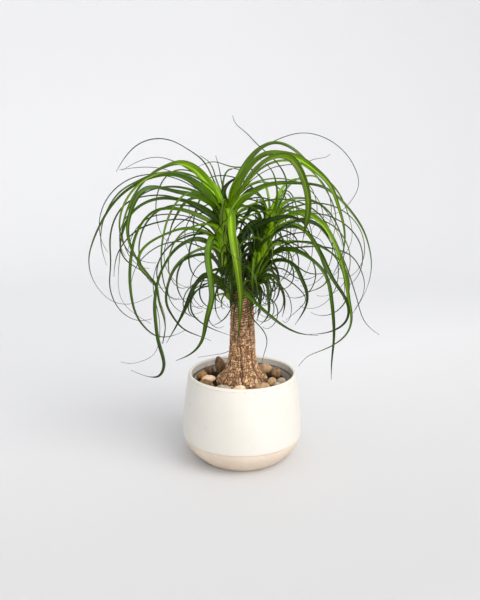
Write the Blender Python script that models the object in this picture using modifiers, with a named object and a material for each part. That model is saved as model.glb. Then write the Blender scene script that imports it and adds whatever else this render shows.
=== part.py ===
# A potted ponytail palm: a stoneware pot, a plastic grow pot in it, soil, river pebbles,
# a swollen bark trunk and four heads of long arching leaves.
# The origin is the centre of the pot's underside, +Z is up and the front is -Y.

import math

import bpy
import numpy as np
from mathutils import Euler, Vector

MM = 0.001
GAP = 0.3                    # clearance that touching pieces keep, in mm

# Stoneware pot, all in mm
POT_HEIGHT = 148.0
POT_RIM_R = 90.5
POT_WIDEST_R = 101.5
POT_WIDEST_Z = 44.0
GLAZE_EDGE_Z = 41.0          # the glaze ends here, a little proud of the bare clay
BARE_TOP_R = 99.3
BARE_FOOT_R = 71.0
POT_WALL = 5.0
POT_FLOOR = 7.0
POT_SIDES = 38

# Plastic grow pot
GROW_RIM_Z = 137.0
GROW_RIM_R = 84.0
GROW_FOOT_R = 62.0
GROW_WALL = 1.4
DRAIN_HOLE_R = 5.0
DRAIN_RING_R = 42.0
DRAIN_HOLES = 6
GROW_MID_Z = 70.0            # a height half way up its plain conical wall
GROW_SIDES = 30

# Soil and trunk
SOIL_TOP_Z = 126.0
CAUDEX_R = 43.0              # the swollen base where it enters the soil
CAUDEX_DEPTH = 52.0          # how far it reaches into the soil
ROUNDNESS = 1.006            # a hole's flats stay clear of the round root by this factor
TRUNK_TOP_Z = 291.0
TRUNK_TOP_R = 17.5
TRUNK_TAPER = 0.035          # mm that the stem widens for each mm down
FLARE_R = 45.0               # the flare's size at FLARE_Z, and its fall over FLARE_RUN
FLARE_Z = 128.0
FLARE_RUN = 12.3
FLARE_SOFTNESS = 3.0
FURROWS = ((7, 0.035, 0.035), (11, 0.025, -0.06))    # how many, depth as a share, lean
TRUNK_SIDES = 26

# The eye that the leaf lines were drawn from, in front of the pot
EYE = (-2.0, -1000.0, 492.0)

# Each shoot: foot and top of its stem's centre line, foot and top radius
SHOOTS = {
    "head_main": ((-11.0, -2.0, 284.0), (-29.0, -3.0, 432.0), 9.5, 9.5),
    "head_right": ((9.0, 6.0, 284.0), (47.0, 24.0, 412.0), 8.0, 8.0),
    "rosette_left": ((-14.0, -13.0, 272.0), (-27.0, -27.0, 296.0), 4.5, 4.5),
    "rosette_right": ((12.0, -12.0, 276.0), (22.0, -24.0, 302.0), 4.5, 4.5),
}

SOCKET_REACH = 40.0          # length of the round cutter that makes a shoot's socket
STEM_BULGE = 0.13            # a shoot is this share thicker half way up
STEM_SIDES = 10
STEM_RINGS = (0.0, 0.12, 0.35, 0.6, 0.8, 0.93, 1.0)
STEM_CROWN = 0.45            # its topmost ring, as a share of its radius there

# Leaves drawn one by one: width, taper (above 1 it narrows early, below 1 late), how far it
# swings back (+) or forward (-) of its root, twist in degrees, and its line from root to tip
# as (x, z) seen from the eye on the plane through the trunk.
DRAWN = {
    "head_main": (
        (21, 1.9, 25, -68, ((-29, 424), (-50, 452), (-78, 482), (-98, 489), (-120, 485), (-142, 474),
                            (-162, 454), (-180, 425), (-192, 390), (-198, 350), (-203, 305),
                            (-198, 270), (-180, 249), (-152, 231))),
        (19, 1.7, -35, 62, ((-29, 408), (-55, 440), (-80, 461), (-105, 471), (-135, 470), (-165, 459),
                            (-195, 438), (-220, 407), (-240, 370), (-249, 340), (-247, 313),
                            (-234, 287), (-212, 268), (-188, 264), (-148, 279))),
        (4, 0.4, 60, 20, ((-28, 428), (-45, 462), (-62, 494), (-85, 512), (-110, 525), (-135, 528),
                          (-165, 518), (-187, 496), (-199, 478))),
        (3, 0.4, 90, 10, ((-28, 420), (-60, 462), (-100, 490), (-130, 500), (-160, 495), (-190, 480))),
        (3, 0.4, 75, 10, ((-28, 414), (-60, 446), (-90, 467), (-120, 481), (-150, 485), (-194, 481))),
        (6, 0.6, -5, 30, ((-28, 416), (-60, 452), (-100, 474), (-135, 475), (-165, 463), (-193, 447),
                          (-213, 422), (-226, 390), (-228, 362), (-221, 329))),
        (15, 1.1, -60, -72, ((-29, 400), (-55, 428), (-80, 439), (-105, 445), (-135, 452), (-155, 449),
                             (-170, 434), (-180, 412), (-185, 385), (-178, 352), (-160, 322),
                             (-145, 300), (-139, 278), (-129, 245), (-134, 196))),
        (11, 0.8, -15, 60, ((-30, 382), (-60, 402), (-85, 413), (-112, 419), (-140, 415), (-157, 401),
                            (-170, 378), (-178, 350), (-183, 315), (-182, 275), (-175, 245),
                            (-160, 222), (-144, 210), (-120, 209), (-94, 220))),
        (5, 0.5, 40, 30, ((-29, 392), (-70, 418), (-110, 438), (-150, 440), (-180, 431), (-203, 405),
                          (-213, 370), (-214, 330), (-217, 296), (-210, 267), (-195, 247), (-170, 236),
                          (-150, 239))),
        (12, 0.9, -75, 55, ((-30, 394), (-60, 417), (-90, 431), (-120, 436), (-150, 430), (-178, 410),
                            (-192, 382), (-196, 352), (-186, 335), (-165, 320), (-148, 300))),
        (9.5, 0.25, -45, 70, ((-29, 348), (-50, 362), (-72, 370), (-92, 364), (-110, 351), (-124, 332),
                              (-134, 312), (-140, 288), (-143, 258), (-142, 228), (-139, 200),
                              (-133, 175), (-132, 152), (-141, 138), (-160, 138), (-188, 149))),
        (9, 0.6, -20, 65, ((-30, 366), (-60, 381), (-95, 387), (-125, 378), (-150, 364), (-165, 347),
                           (-168, 332), (-158, 315), (-142, 297), (-137, 270), (-128, 230),
                           (-133, 196))),
        (8, 0.7, 15, 60, ((-28, 335), (-60, 345), (-85, 341), (-104, 328), (-117, 307), (-124, 285),
                          (-124, 262), (-115, 243), (-98, 222), (-76, 211), (-52, 201))),
        (14, 0.5, -70, 0, ((-29, 352), (-45, 374), (-54, 354), (-53, 325), (-50, 298), (-49, 275),
                           (-55, 250), (-61, 226), (-68, 200), (-84, 180), (-112, 166))),
        (16, 0.75, -62, 5, ((-28, 374), (-29, 402), (-25, 421), (-20, 412), (-18, 392), (-14, 360),
                            (-8, 324), (-4, 291), (-3, 261), (-5, 231), (-8, 197))),
        (5, 0.5, 60, 60, ((-27, 432), (-33, 460), (-37, 484), (-42, 503))),
        (6, 0.5, 40, 60, ((-28, 430), (-42, 466), (-52, 492), (-67, 503))),
        (6, 0.6, 90, 50, ((-27, 430), (-31, 462), (-20, 482), (-4, 480), (12, 462))),
        (17, 1.3, -10, 70, ((-26, 424), (-10, 452), (8, 488), (30, 513), (50, 521), (75, 514),
                            (100, 493), (128, 470), (152, 446), (168, 415), (176, 388), (176, 368),
                            (160, 338))),
        (22, 1.2, -35, 66, ((-26, 416), (-6, 450), (14, 484), (36, 502), (60, 504), (88, 497),
                            (115, 480), (138, 458), (153, 425), (163, 392), (165, 362), (155, 328),
                            (138, 300), (109, 284))),
        (12, 0.5, -75, 75, ((-26, 408), (-8, 438), (18, 476), (48, 498), (74, 499), (89, 484),
                            (99, 462), (105, 436), (105, 412), (101, 388), (95, 355))),
        (3, 0.4, 50, 10, ((-26, 420), (0, 472), (30, 512), (60, 529), (95, 537), (130, 529), (158, 510),
                          (178, 482), (184, 460), (172, 431), (150, 413), (131, 411))),
        (8, 0.7, 25, 55, ((-26, 410), (2, 452), (30, 482), (62, 494), (95, 488), (122, 464), (140, 436),
                          (149, 410), (148, 384), (144, 360))),
        (17, 0.6, -34, 62, ((-24, 350), (-12, 362), (7, 376), (22, 388), (38, 398), (53, 404),
                            (73, 407), (89, 404), (102, 393), (111, 377))),
        (14, 1.1, -22, 60, ((-24, 404), (0, 430), (25, 449), (55, 458), (90, 459), (125, 454),
                            (152, 437), (176, 412), (194, 386), (205, 358), (210, 330), (207, 300),
                            (196, 271), (180, 244))),
        (11, 0.9, -40, -60, ((-30, 402), (-50, 425), (-70, 436), (-88, 431), (-100, 417), (-110, 400),
                             (-116, 384), (-121, 360))),
        (12, 0.5, 10, 55, ((-26, 412), (-7, 428), (1, 439), (8, 447), (15, 451), (25, 448))),
        (11, 0.6, 45, 60, ((-28, 426), (-31, 440), (-28, 454), (-18, 465), (-7, 468), (6, 462))),
    ),
    "head_right": (
        (4, 0.4, -15, 20, ((44, 402), (62, 430), (71, 456), (64, 480), (46, 501), (26, 518), (2, 541),
                           (-12, 554), (-15, 563))),
        (13, 0.7, -75, 66, ((42, 380), (70, 404), (98, 412), (122, 400), (140, 378), (154, 352),
                            (164, 325), (171, 298), (176, 270), (181, 242), (176, 217), (157, 197),
                            (130, 183), (108, 172), (95, 156))),
        (11, 0.7, -95, 66, ((40, 366), (66, 388), (92, 388), (116, 364), (134, 334), (149, 306),
                            (165, 283), (176, 258), (173, 236), (154, 220), (112, 212))),
        (5, 0.5, 30, 30, ((38, 350), (60, 354), (90, 357), (122, 359), (152, 354), (176, 344),
                          (192, 323), (200, 299), (196, 273), (186, 255))),
        (11, 0.7, -60, 62, ((37, 340), (60, 352), (84, 352), (106, 341), (126, 324), (139, 303),
                            (146, 275), (151, 240), (153, 205), (151, 168), (151, 132))),
        (5, 0.5, 0, 30, ((42, 385), (80, 398), (115, 395), (145, 370), (164, 338), (178, 303),
                         (190, 268), (204, 233), (229, 211))),
        (8, 0.7, -110, 60, ((40, 372), (62, 392), (86, 394), (108, 378), (124, 352), (134, 326),
                            (138, 302), (128, 292), (100, 284))),
        (12, 0.8, -50, 62, ((34, 322), (50, 333), (68, 335), (84, 327), (96, 308), (105, 288),
                            (107, 270), (99, 247), (88, 229))),
        (8, 0.8, 45, 55, ((46, 404), (70, 430), (95, 436), (118, 430), (140, 412), (156, 384),
                          (164, 356), (160, 325), (140, 304))),
        (9, 0.7, -45, 60, ((46, 400), (56, 430), (55, 458), (44, 484), (28, 497))),
        (6, 0.6, 70, 40, ((46, 402), (68, 448), (92, 468), (115, 470), (134, 450), (142, 420),
                          (138, 385))),
        (11, 0.8, -66, 20, ((38, 352), (22, 372), (4, 368), (-7, 348), (-8, 326), (0, 306))),
        (8, 0.8, 60, 60, ((44, 398), (40, 440), (28, 470), (12, 482), (-15, 485), (-45, 493),
                          (-73, 484))),
        (14, 0.6, -30, 62, ((44, 400), (31, 417), (23, 422), (15, 420), (6, 410), (-2, 393),
                            (-5, 373))),
        (12, 0.6, -45, 62, ((39, 384), (25, 396), (15, 397), (6, 388), (-1, 370), (-4, 351),
                            (-4, 331))),
        (11, 0.6, -50, 60, ((25, 340), (32, 361), (46, 374), (61, 385), (83, 398), (102, 402),
                            (121, 396), (136, 380), (147, 357))),
    ),
    "rosette_left": (
        (15, 0.7, -12, -72, ((-24, 292), (-42, 308), (-58, 310), (-72, 299), (-83, 281), (-92, 262),
                             (-101, 243), (-113, 221), (-127, 197))),
        (5, 0.6, 20, 40, ((-24, 290), (-50, 300), (-70, 290), (-84, 268), (-83, 250), (-70, 234),
                          (-50, 222), (-22, 211))),
        (5, 0.6, -25, 30, ((-25, 288), (-38, 290), (-44, 272), (-43, 250), (-36, 236))),
        (4, 0.5, -40, 20, ((-24, 294), (-34, 306), (-40, 290), (-36, 270), (-24, 258))),
    ),
    "rosette_right": (
        (9, 0.8, -48, 40, ((21, 300), (8, 302), (2, 290), (14, 272), (32, 256), (50, 241), (70, 226),
                           (95, 214), (127, 210))),
        (8, 0.7, -14, 30, ((22, 302), (27, 294), (29, 276), (28, 254), (24, 235))),
        (9, 0.7, -30, 30, ((23, 303), (36, 300), (42, 278), (44, 256), (40, 240), (30, 229))),
        (8, 0.7, -20, 60, ((23, 303), (45, 312), (60, 298), (68, 280), (70, 262), (66, 242))),
        (4, 0.5, 20, 30, ((23, 300), (55, 312), (80, 300), (97, 285), (104, 272), (94, 256),
                          (72, 236))),
        (3, 0.4, 5, 10, ((20, 288), (18, 238), (32, 222), (41, 200), (37, 180), (33, 163))),
        (7, 0.7, -26, 66, ((22, 300), (27, 322), (37, 345), (51, 366), (68, 376), (84, 368))),
        (6, 0.7, 2, 66, ((22, 298), (34, 324), (48, 343), (62, 350), (78, 344))),
    ),
}

# Leaves that fill each head all round: how many, longest and shortest length, widest blade,
# rise above the level in degrees at the foot and at the top of the stem
FILL = {
    "head_main": (36, 400.0, 230.0, 11.0, 5.0, 58.0),
    "head_right": (36, 350.0, 180.0, 10.0, 0.0, 60.0),
    "rosette_left": (7, 150.0, 80.0, 7.0, 5.0, 60.0),
    "rosette_right": (8, 165.0, 80.0, 7.0, 5.0, 65.0),
}
LOWEST_LEAF = 0.2            # the lowest leaf's place up the stem, as a share of it
FRONT_SECTOR = 42.0          # leaves within this many degrees of the front are short,
FRONT_SHARE = 0.34           # by this factor, for the front of the crowns is open
YOUNG_SHARE = 0.35           # the topmost, youngest leaves are narrower by this share
SIDE_LIMIT = 225.0           # the fill hangs no lower than this at the sides
FACE_LIMIT = 290.0           # and than this in front and behind,
LEAST_HANG = 60.0            # but every leaf may hang this far below its root
HANG_SPREAD = 60.0           # and some end higher, by up to this
FILL_TAPER = 0.8             # how early a fill leaf narrows
TURN_IN = 0.25               # a blade's twist comes in over this share of its run
SHORTER = 0.93               # a leaf that would hang lower is cut by this factor at a time
GOLDEN_ANGLE = 137.508
TURN_TO_TIP = 235.0          # degrees that a leaf bends over from its root to its tip
SEED = 11

# A blade in section is a shallow triangle: its flat face up and a keel below
KEEL_SHARE = 0.13
THINNEST = 0.65
TIP_WIDTH = 1.0
RING_RUN = 110.0             # a blade has a ring for this run in mm,
RING_BEND = 65.0             # one more for each bend of this many degrees
RING_TWIST = 32.0            # and one more for each twist of this many degrees
FEWEST_RINGS = 7
CLEAR_STEP = 8.0             # mm between the points that clearances are measured at
ROOT_ZONE = 38.0             # mm of each leaf that may touch its own head
SIDE_STEP = 9.0              # mm that a leaf is swung at a time to clear its neighbours
SIDE_TRIES = 24
BLADE_GAP = 1.0              # the least gap between two blades' edges
LEAST_APART = 6.0            # and between their middle lines
MOUTH_RINGS = (90.5, 70.0, 50.0)    # rings over the pot's mouth that leaves stay clear of,
MOUTH_ROOM = 16.0            # by this much

# An egg-like stone is fuller at one end by this share, and uneven by this one
STONE_FULLNESS = 0.12
STONE_WOBBLE = 0.06

# River pebbles: angle round the pot, distance from its axis, length, width, height, turn, tilt
PEBBLES = (
    (130.0, 60.0, 19.0, 17.0, 31.0, 20.0, 12.0, "brown"),
    (144.0, 71.0, 16.0, 14.0, 15.0, 50.0, 0.0, "umber"),
    (166.0, 69.5, 20.0, 16.0, 14.0, 80.0, 0.0, "ochre"),
    (180.0, 57.0, 24.0, 16.0, 14.0, 0.0, 6.0, "cream"),
    (199.0, 64.5, 24.0, 16.0, 14.0, -19.0, 0.0, "olive"),
    (237.0, 57.0, 27.0, 17.0, 13.0, 123.0, 4.0, "grey"),
    (217.0, 68.5, 18.0, 16.0, 15.0, 0.0, 0.0, "umber"),
    (266.0, 58.0, 21.0, 16.0, 17.0, 94.0, 0.0, "cream"),
    (287.0, 69.0, 20.0, 16.0, 15.0, 90.0, 5.0, "brown"),
    (305.0, 56.0, 26.0, 18.0, 18.0, 55.0, 0.0, "tan"),
    (349.0, 66.5, 17.0, 16.0, 15.0, 0.0, 0.0, "grey"),
    (335.0, 54.5, 16.0, 15.0, 18.0, 60.0, 0.0, "tan"),
    (325.0, 70.0, 17.0, 15.0, 15.0, 85.0, 0.0, "grey"),
    (22.0, 63.0, 18.0, 17.0, 19.0, 20.0, 0.0, "brown"),
    (46.0, 60.0, 24.0, 14.0, 18.0, 120.0, 8.0, "tan"),
    (68.0, 64.0, 18.0, 20.0, 16.0, 50.0, 0.0, "umber"),
    (90.0, 66.0, 19.0, 17.0, 15.0, 10.0, 0.0, "grey"),
    (111.0, 62.0, 18.0, 16.0, 17.0, 0.0, 0.0, "brown"),
    (251.0, 71.0, 16.0, 14.0, 14.0, 60.0, 0.0, "cream"),
)

COLOURS = {
    "glaze": (0.86, 0.81, 0.72, 0.32),
    "plastic": (0.36, 0.31, 0.27, 0.55),
    "soil": (0.045, 0.03, 0.02, 0.95),
    "bark": (0.33, 0.19, 0.1, 0.9),
    "leaf": (0.1, 0.24, 0.02, 0.42),
    "brown": (0.2, 0.12, 0.07, 0.6),
    "umber": (0.11, 0.07, 0.05, 0.6),
    "ochre": (0.42, 0.25, 0.09, 0.6),
    "cream": (0.72, 0.6, 0.44, 0.6),
    "olive": (0.22, 0.17, 0.09, 0.6),
    "grey": (0.25, 0.24, 0.23, 0.6),
    "tan": (0.42, 0.31, 0.2, 0.6),
}


# Scene and materials

def start_clean():
    for obj in list(bpy.data.objects):
        bpy.data.objects.remove(obj, do_unlink=True)


def collection(name):
    made = bpy.data.collections.new(name)
    bpy.context.scene.collection.children.link(made)
    return made


def material(name, colour):
    red, green, blue, roughness = COLOURS[colour]
    made = bpy.data.materials.new(name)
    made.use_nodes = True
    shader = made.node_tree.nodes["Principled BSDF"]
    shader.inputs["Base Color"].default_value = (red, green, blue, 1.0)
    shader.inputs["Roughness"].default_value = roughness
    shader.inputs["Metallic"].default_value = 0.0
    return made


def add_mesh(name, points, faces, home, colour=None):
    """One object from points in mm and its faces."""
    mesh = bpy.data.meshes.new(name)
    mesh.from_pydata([tuple(c * MM for c in p) for p in points], [], faces)
    mesh.validate()
    if colour:
        mesh.materials.append(material(name, colour))
    made = bpy.data.objects.new(name, mesh)
    home.objects.link(made)
    return made


# Turned pieces

def arc(centre_r, centre_z, radius, start, end, steps):
    """Points (r, z) of an arc in the profile's plane, angles in degrees."""
    out = []
    for i in range(steps + 1):
        angle = math.radians(start + (end - start) * i / steps)
        out.append((centre_r + radius * math.cos(angle), centre_z + radius * math.sin(angle)))
    return out


def turned(name, profile, sides, home, colour):
    """A profile of (r, z) from the inside over the top and down the outer side, turned round."""
    edges = [(i, i + 1) for i in range(len(profile) - 1)]
    mesh = bpy.data.meshes.new(name)
    mesh.from_pydata([(r * MM, 0.0, z * MM) for r, z in profile], edges, [])
    mesh.materials.append(material(name, colour))
    made = bpy.data.objects.new(name, mesh)
    home.objects.link(made)
    screw = made.modifiers.new("Turn", "SCREW")
    screw.steps = sides
    screw.render_steps = sides
    screw.use_merge_vertices = True
    screw.merge_threshold = 0.00005
    screw.use_smooth_shade = True
    return made


def pot_outer_radius(z):
    """Above the widest line the wall leans in as a quarter sine; below the glaze it curves
    in to the foot as a quarter circle drawn wide."""
    if z >= POT_WIDEST_Z:
        part = (POT_HEIGHT - z) / (POT_HEIGHT - POT_WIDEST_Z)
        return POT_RIM_R + (POT_WIDEST_R - POT_RIM_R) * math.sin(part * math.pi / 2)
    part = 1 - z / GLAZE_EDGE_Z
    return BARE_FOOT_R + (BARE_TOP_R - BARE_FOOT_R) * math.cos(part * math.pi / 2)


def make_pot(home):
    rim = POT_WALL / 2
    inside = [(0.0, POT_FLOOR), (BARE_FOOT_R - POT_WALL, POT_FLOOR)]
    inside += [(pot_outer_radius(z) - POT_WALL, z) for z in (16.0, 30.0, 46.0, 80.0, 115.0)]
    top = arc(POT_RIM_R - rim, POT_HEIGHT - rim, rim, 180.0, 0.0, 4)
    wall = [(pot_outer_radius(z), z) for z in (125.0, 100.0, 78.0, 60.0, POT_WIDEST_Z + 2)]
    lip = [(POT_WIDEST_R - 0.3, POT_WIDEST_Z - 1), (POT_WIDEST_R - 1.2, GLAZE_EDGE_Z)]
    bare = [(pot_outer_radius(z), z) for z in (GLAZE_EDGE_Z - 0.6, 32.0, 23.0, 14.0, 7.0, 2.5)]
    foot = [(BARE_FOOT_R - 2.5, 0.0), (0.0, 0.0)]
    return turned("pot", inside + top + wall + lip + bare + foot, POT_SIDES, home, "glaze")


# The grow pot and its soil

def grow_inner_radius(z):
    """The grow pot's inner wall: a plain cone from the foot to the rim."""
    part = (z - POT_FLOOR) / (GROW_RIM_Z - POT_FLOOR)
    return GROW_FOOT_R + (GROW_RIM_R - 1.5 - GROW_FOOT_R) * part - GROW_WALL


def make_grow_pot(home, cutters):
    low = POT_FLOOR + GAP
    floor = low + GROW_WALL
    rim_inner = grow_inner_radius(GROW_RIM_Z)
    foot_inner = grow_inner_radius(floor)
    mid_inner = grow_inner_radius(GROW_MID_Z)
    profile = [(0.0, floor), (foot_inner - 2, floor), (grow_inner_radius(floor + 2), floor + 2)]
    profile += [(mid_inner, GROW_MID_Z), (rim_inner, GROW_RIM_Z - 1), (rim_inner + 0.8, GROW_RIM_Z)]
    profile += [(GROW_RIM_R - 0.6, GROW_RIM_Z), (GROW_RIM_R, GROW_RIM_Z - 1)]
    profile += [(GROW_RIM_R, GROW_RIM_Z - 6), (GROW_RIM_R - 1.2, GROW_RIM_Z - 6.6)]
    profile += [(mid_inner + GROW_WALL, GROW_MID_Z), (GROW_FOOT_R, low + 2)]
    profile += [(GROW_FOOT_R - 2, low), (0.0, low)]
    grow = turned("grow_pot", profile, GROW_SIDES, home, "plastic")
    drills = drain_drills(cutters)
    cut = grow.modifiers.new("Drain", "BOOLEAN")
    cut.operation = "DIFFERENCE"
    cut.object = drills
    return grow


def drain_drills(cutters):
    """One cutter holding a ring of short cylinders through the grow pot's floor."""
    points = []
    faces = []
    corners = 10
    for hole in range(DRAIN_HOLES):
        turn = 2 * math.pi * (hole + 0.5) / DRAIN_HOLES
        centre = (DRAIN_RING_R * math.cos(turn), DRAIN_RING_R * math.sin(turn))
        first = len(points)
        for z in (POT_FLOOR - 3, POT_FLOOR + 6):
            for i in range(corners):
                angle = 2 * math.pi * i / corners
                points.append((centre[0] + DRAIN_HOLE_R * math.cos(angle),
                               centre[1] + DRAIN_HOLE_R * math.sin(angle), z))
        faces.append([first + i for i in reversed(range(corners))])
        faces.append([first + corners + i for i in range(corners)])
        for i in range(corners):
            after = (i + 1) % corners
            faces.append([first + i, first + after, first + corners + after, first + corners + i])
    drills = add_mesh("drain_drills", points, faces, cutters)
    drills.hide_render = True
    drills.display_type = "WIRE"
    return drills


def root_rings():
    """Radius and height of the buried caudex, half of a flattened ball, from its foot up."""
    return [(CAUDEX_R * math.sqrt(1.0 - share * share), SOIL_TOP_Z - CAUDEX_DEPTH * share)
            for share in (0.97, 0.8, 0.55, 0.28, 0.0)]


def make_soil(home):
    """A plug of soil that fills the grow pot, with a plain hole that the trunk stands in."""
    low = POT_FLOOR + 2 * GAP + GROW_WALL
    hole = [(r * ROUNDNESS + GAP, z - GAP) for r, z in root_rings()]
    hole = [(0.0, hole[0][1])] + hole[:-1] + [(hole[-1][0], SOIL_TOP_Z)]
    outer = [(grow_inner_radius(z) - 2 * GAP, z) for z in (SOIL_TOP_Z, GROW_MID_Z, low + 3)]
    outer += [(grow_inner_radius(low) - 3, low), (0.0, low)]
    return turned("soil", hole + outer, GROW_SIDES, home, "soil")


# Lofts: rings of points joined into one closed skin

def loft(rings):
    """Points and triangles of a skin through rings that all have the same number of points,
    with a flat cap on both ends."""
    count = len(rings[0])
    points = np.concatenate(rings)
    faces = []
    for k in range(len(rings) - 1):
        for i in range(count):
            a = k * count + i
            b = k * count + (i + 1) % count
            faces.append((a, b, b + count))
            faces.append((a, b + count, a + count))
    last = (len(rings) - 1) * count
    faces.append(tuple(reversed(range(count))))
    faces.append(tuple(last + i for i in range(count)))
    return points, faces


def trunk_radius(z):
    """A slim bark stem that flares to the caudex: a straight taper plus an exponential flare,
    held to the caudex radius by a soft minimum."""
    stem = TRUNK_TOP_R + TRUNK_TAPER * (TRUNK_TOP_Z - z)
    flare = FLARE_R * math.exp(-(z - FLARE_Z) / FLARE_RUN)
    both = math.exp(-(stem + flare) / FLARE_SOFTNESS) + math.exp(-CAUDEX_R / FLARE_SOFTNESS)
    return -FLARE_SOFTNESS * math.log(both)


def make_trunk(home, cutters):
    """The trunk with shallow furrows that fade out at the soil, and a socket for each shoot."""
    turns = np.linspace(0, 2 * math.pi, TRUNK_SIDES, endpoint=False)
    rings = [(radius, z, 0.0) for radius, z in root_rings()]
    for rise in (5.0, 9.0, 13.0, 17.0, 21.0, 26.0, 33.0, 42.0, 54.0, 70.0, 90.0, 112.0, 136.0, 158.0):
        rings.append((trunk_radius(SOIL_TOP_Z + rise), SOIL_TOP_Z + rise, 1.0))
    rings.append((TRUNK_TOP_R - 3.0, TRUNK_TOP_Z, 0.5))
    skins = []
    for radius, z, rough in rings:
        furrow = sum(deep * np.sin(count * turns + lean * z) for count, deep, lean in FURROWS)
        r = radius * (1.0 + rough * furrow)
        skins.append(np.stack([r * np.cos(turns), r * np.sin(turns), np.full(TRUNK_SIDES, z)], 1))
    points, faces = loft(skins)
    trunk = add_mesh("trunk", points, faces, home, "bark")
    for shoot, (foot, top, foot_r, _) in SHOOTS.items():
        socket = socket_cutter(shoot, foot, top, foot_r, cutters)
        cut = trunk.modifiers.new("Socket", "BOOLEAN")
        cut.operation = "DIFFERENCE"
        cut.object = socket
    return trunk


def socket_cutter(shoot, foot, top, foot_r, cutters):
    """A round cutter a little wider than the shoot's foot, along the shoot."""
    foot = Vector(foot)
    along = (Vector(top) - foot).normalized()
    middle = foot + along * (SOCKET_REACH / 2 - GAP)
    bpy.ops.mesh.primitive_cylinder_add(vertices=16, radius=(foot_r + 2 * GAP) * MM,
                                        depth=SOCKET_REACH * MM, location=middle * MM,
                                        rotation=along.to_track_quat("Z", "Y").to_euler())
    cutter = bpy.context.object
    cutter.name = "socket_" + shoot
    for home in list(cutter.users_collection):
        home.objects.unlink(cutter)
    cutters.objects.link(cutter)
    cutter.hide_render = True
    cutter.display_type = "WIRE"
    return cutter


# Leaf lines

def smooth_line(points):
    """A dense natural cubic curve through a few points, its parameter the chord length."""
    knots = np.asarray(points, float)
    steps = np.linalg.norm(np.diff(knots, axis=0), axis=1)
    at = np.concatenate([[0.0], np.cumsum(steps)])
    count = len(knots)
    rule = np.eye(count)
    right = np.zeros((count, knots.shape[1]))
    for i in range(1, count - 1):
        rule[i, i - 1:i + 2] = steps[i - 1], 2 * (steps[i - 1] + steps[i]), steps[i]
        right[i] = 6 * ((knots[i + 1] - knots[i]) / steps[i] - (knots[i] - knots[i - 1]) / steps[i - 1])
    bend = np.linalg.solve(rule, right)
    u = np.linspace(0, at[-1], 300)
    k = np.clip(np.searchsorted(at, u, side="right") - 1, 0, count - 2)
    h = steps[k][:, None]
    a = (at[k + 1] - u)[:, None]
    b = (u - at[k])[:, None]
    cubic = (bend[k] * a ** 3 + bend[k + 1] * b ** 3) / (6 * h)
    return cubic + (knots[k] / h - bend[k] * h / 6) * a + (knots[k + 1] / h - bend[k + 1] * h / 6) * b


def evenly(line, step):
    """The line's points at even distances of about step."""
    run = np.concatenate([[0.0], np.cumsum(np.linalg.norm(np.diff(line, axis=0), axis=1))])
    count = max(4, int(round(run[-1] / step)) + 1)
    at = np.linspace(0, run[-1], count)
    return np.stack([np.interp(at, run, line[:, i]) for i in range(line.shape[1])], 1)


def stem_point(shoot, z):
    """The point of a shoot's centre line at height z."""
    foot, top, _, _ = SHOOTS[shoot]
    share = (z - foot[2]) / (top[2] - foot[2])
    return np.array(foot) + (np.array(top) - np.array(foot)) * share


def drawn_line(shoot, swing, seen):
    """A drawn leaf in space: its depth goes from the stem to swing over the first 60 percent
    of its run, and each point lies on the eye's line through its place on the trunk's plane."""
    flat = smooth_line(seen)
    run = np.linspace(0, 1, len(flat))
    root = stem_point(shoot, seen[0][1])
    depth = root[1] + swing * np.sin(np.minimum(run / 0.6, 1.0) * math.pi / 2)
    scale = 1.0 - depth / EYE[1]
    x = EYE[0] + (flat[:, 0] - EYE[0]) * scale
    z = EYE[2] + (flat[:, 1] - EYE[2]) * scale
    return np.stack([x, depth, z], 1)


def grown_line(root, heading, rise, length, sway):
    """A leaf that follows its own growth: it leaves the stem at rise degrees, turns over by
    TURN_TO_TIP degrees, faster towards the tip, and drifts sideways by sway degrees."""
    run = np.linspace(0, 1, 300)
    slope = np.radians(rise - TURN_TO_TIP * (run + 0.8 * run ** 3) / 1.8)
    turn = np.radians(heading + sway * run ** 2)
    step = length / (len(run) - 1)
    along = np.stack([np.cos(slope) * np.cos(turn), np.cos(slope) * np.sin(turn), np.sin(slope)], 1)
    return np.asarray(root) + np.cumsum(along, axis=0) * step


def hang_limit(root, heading, lift):
    """The lowest that a fill leaf may hang: lower at the sides than in front and behind."""
    facing = math.sin(math.radians(heading)) ** 2
    return min(SIDE_LIMIT + (FACE_LIMIT - SIDE_LIMIT) * facing + lift, root[2] - LEAST_HANG)


def faces_front(heading):
    """Whether a leaf heads within FRONT_SECTOR degrees of the front, -Y."""
    return abs((heading + 270.0) % 360.0 - 180.0) < FRONT_SECTOR


# Clearances between leaves

class Crowd:
    """Points of everything that is in place, each with its radius and the head it is part of."""

    def __init__(self):
        self.points = np.zeros((0, 3))
        self.radii = np.zeros(0)
        self.owners = np.zeros(0, int)

    def add(self, points, radii, owner):
        self.points = np.concatenate([self.points, points])
        self.radii = np.concatenate([self.radii, radii])
        self.owners = np.concatenate([self.owners, np.full(len(points), owner)])

    def room(self, line, width, taper, owner):
        """The least distance left over between a new leaf and all that is in place."""
        points = evenly(line, CLEAR_STEP)
        run = np.arange(len(points)) * CLEAR_STEP
        radii = blade_width(np.linspace(0, 1, len(points)), width, taper) / 2
        apart = np.linalg.norm(points[:, None, :] - self.points[None, :, :], axis=2)
        need = np.maximum(radii[:, None] + self.radii[None, :] + BLADE_GAP, LEAST_APART)
        spare = apart - need
        own_root = (run < ROOT_ZONE)[:, None] & (self.owners == owner)[None, :]
        spare[own_root] = np.inf
        return spare.min() if spare.size else np.inf


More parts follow.
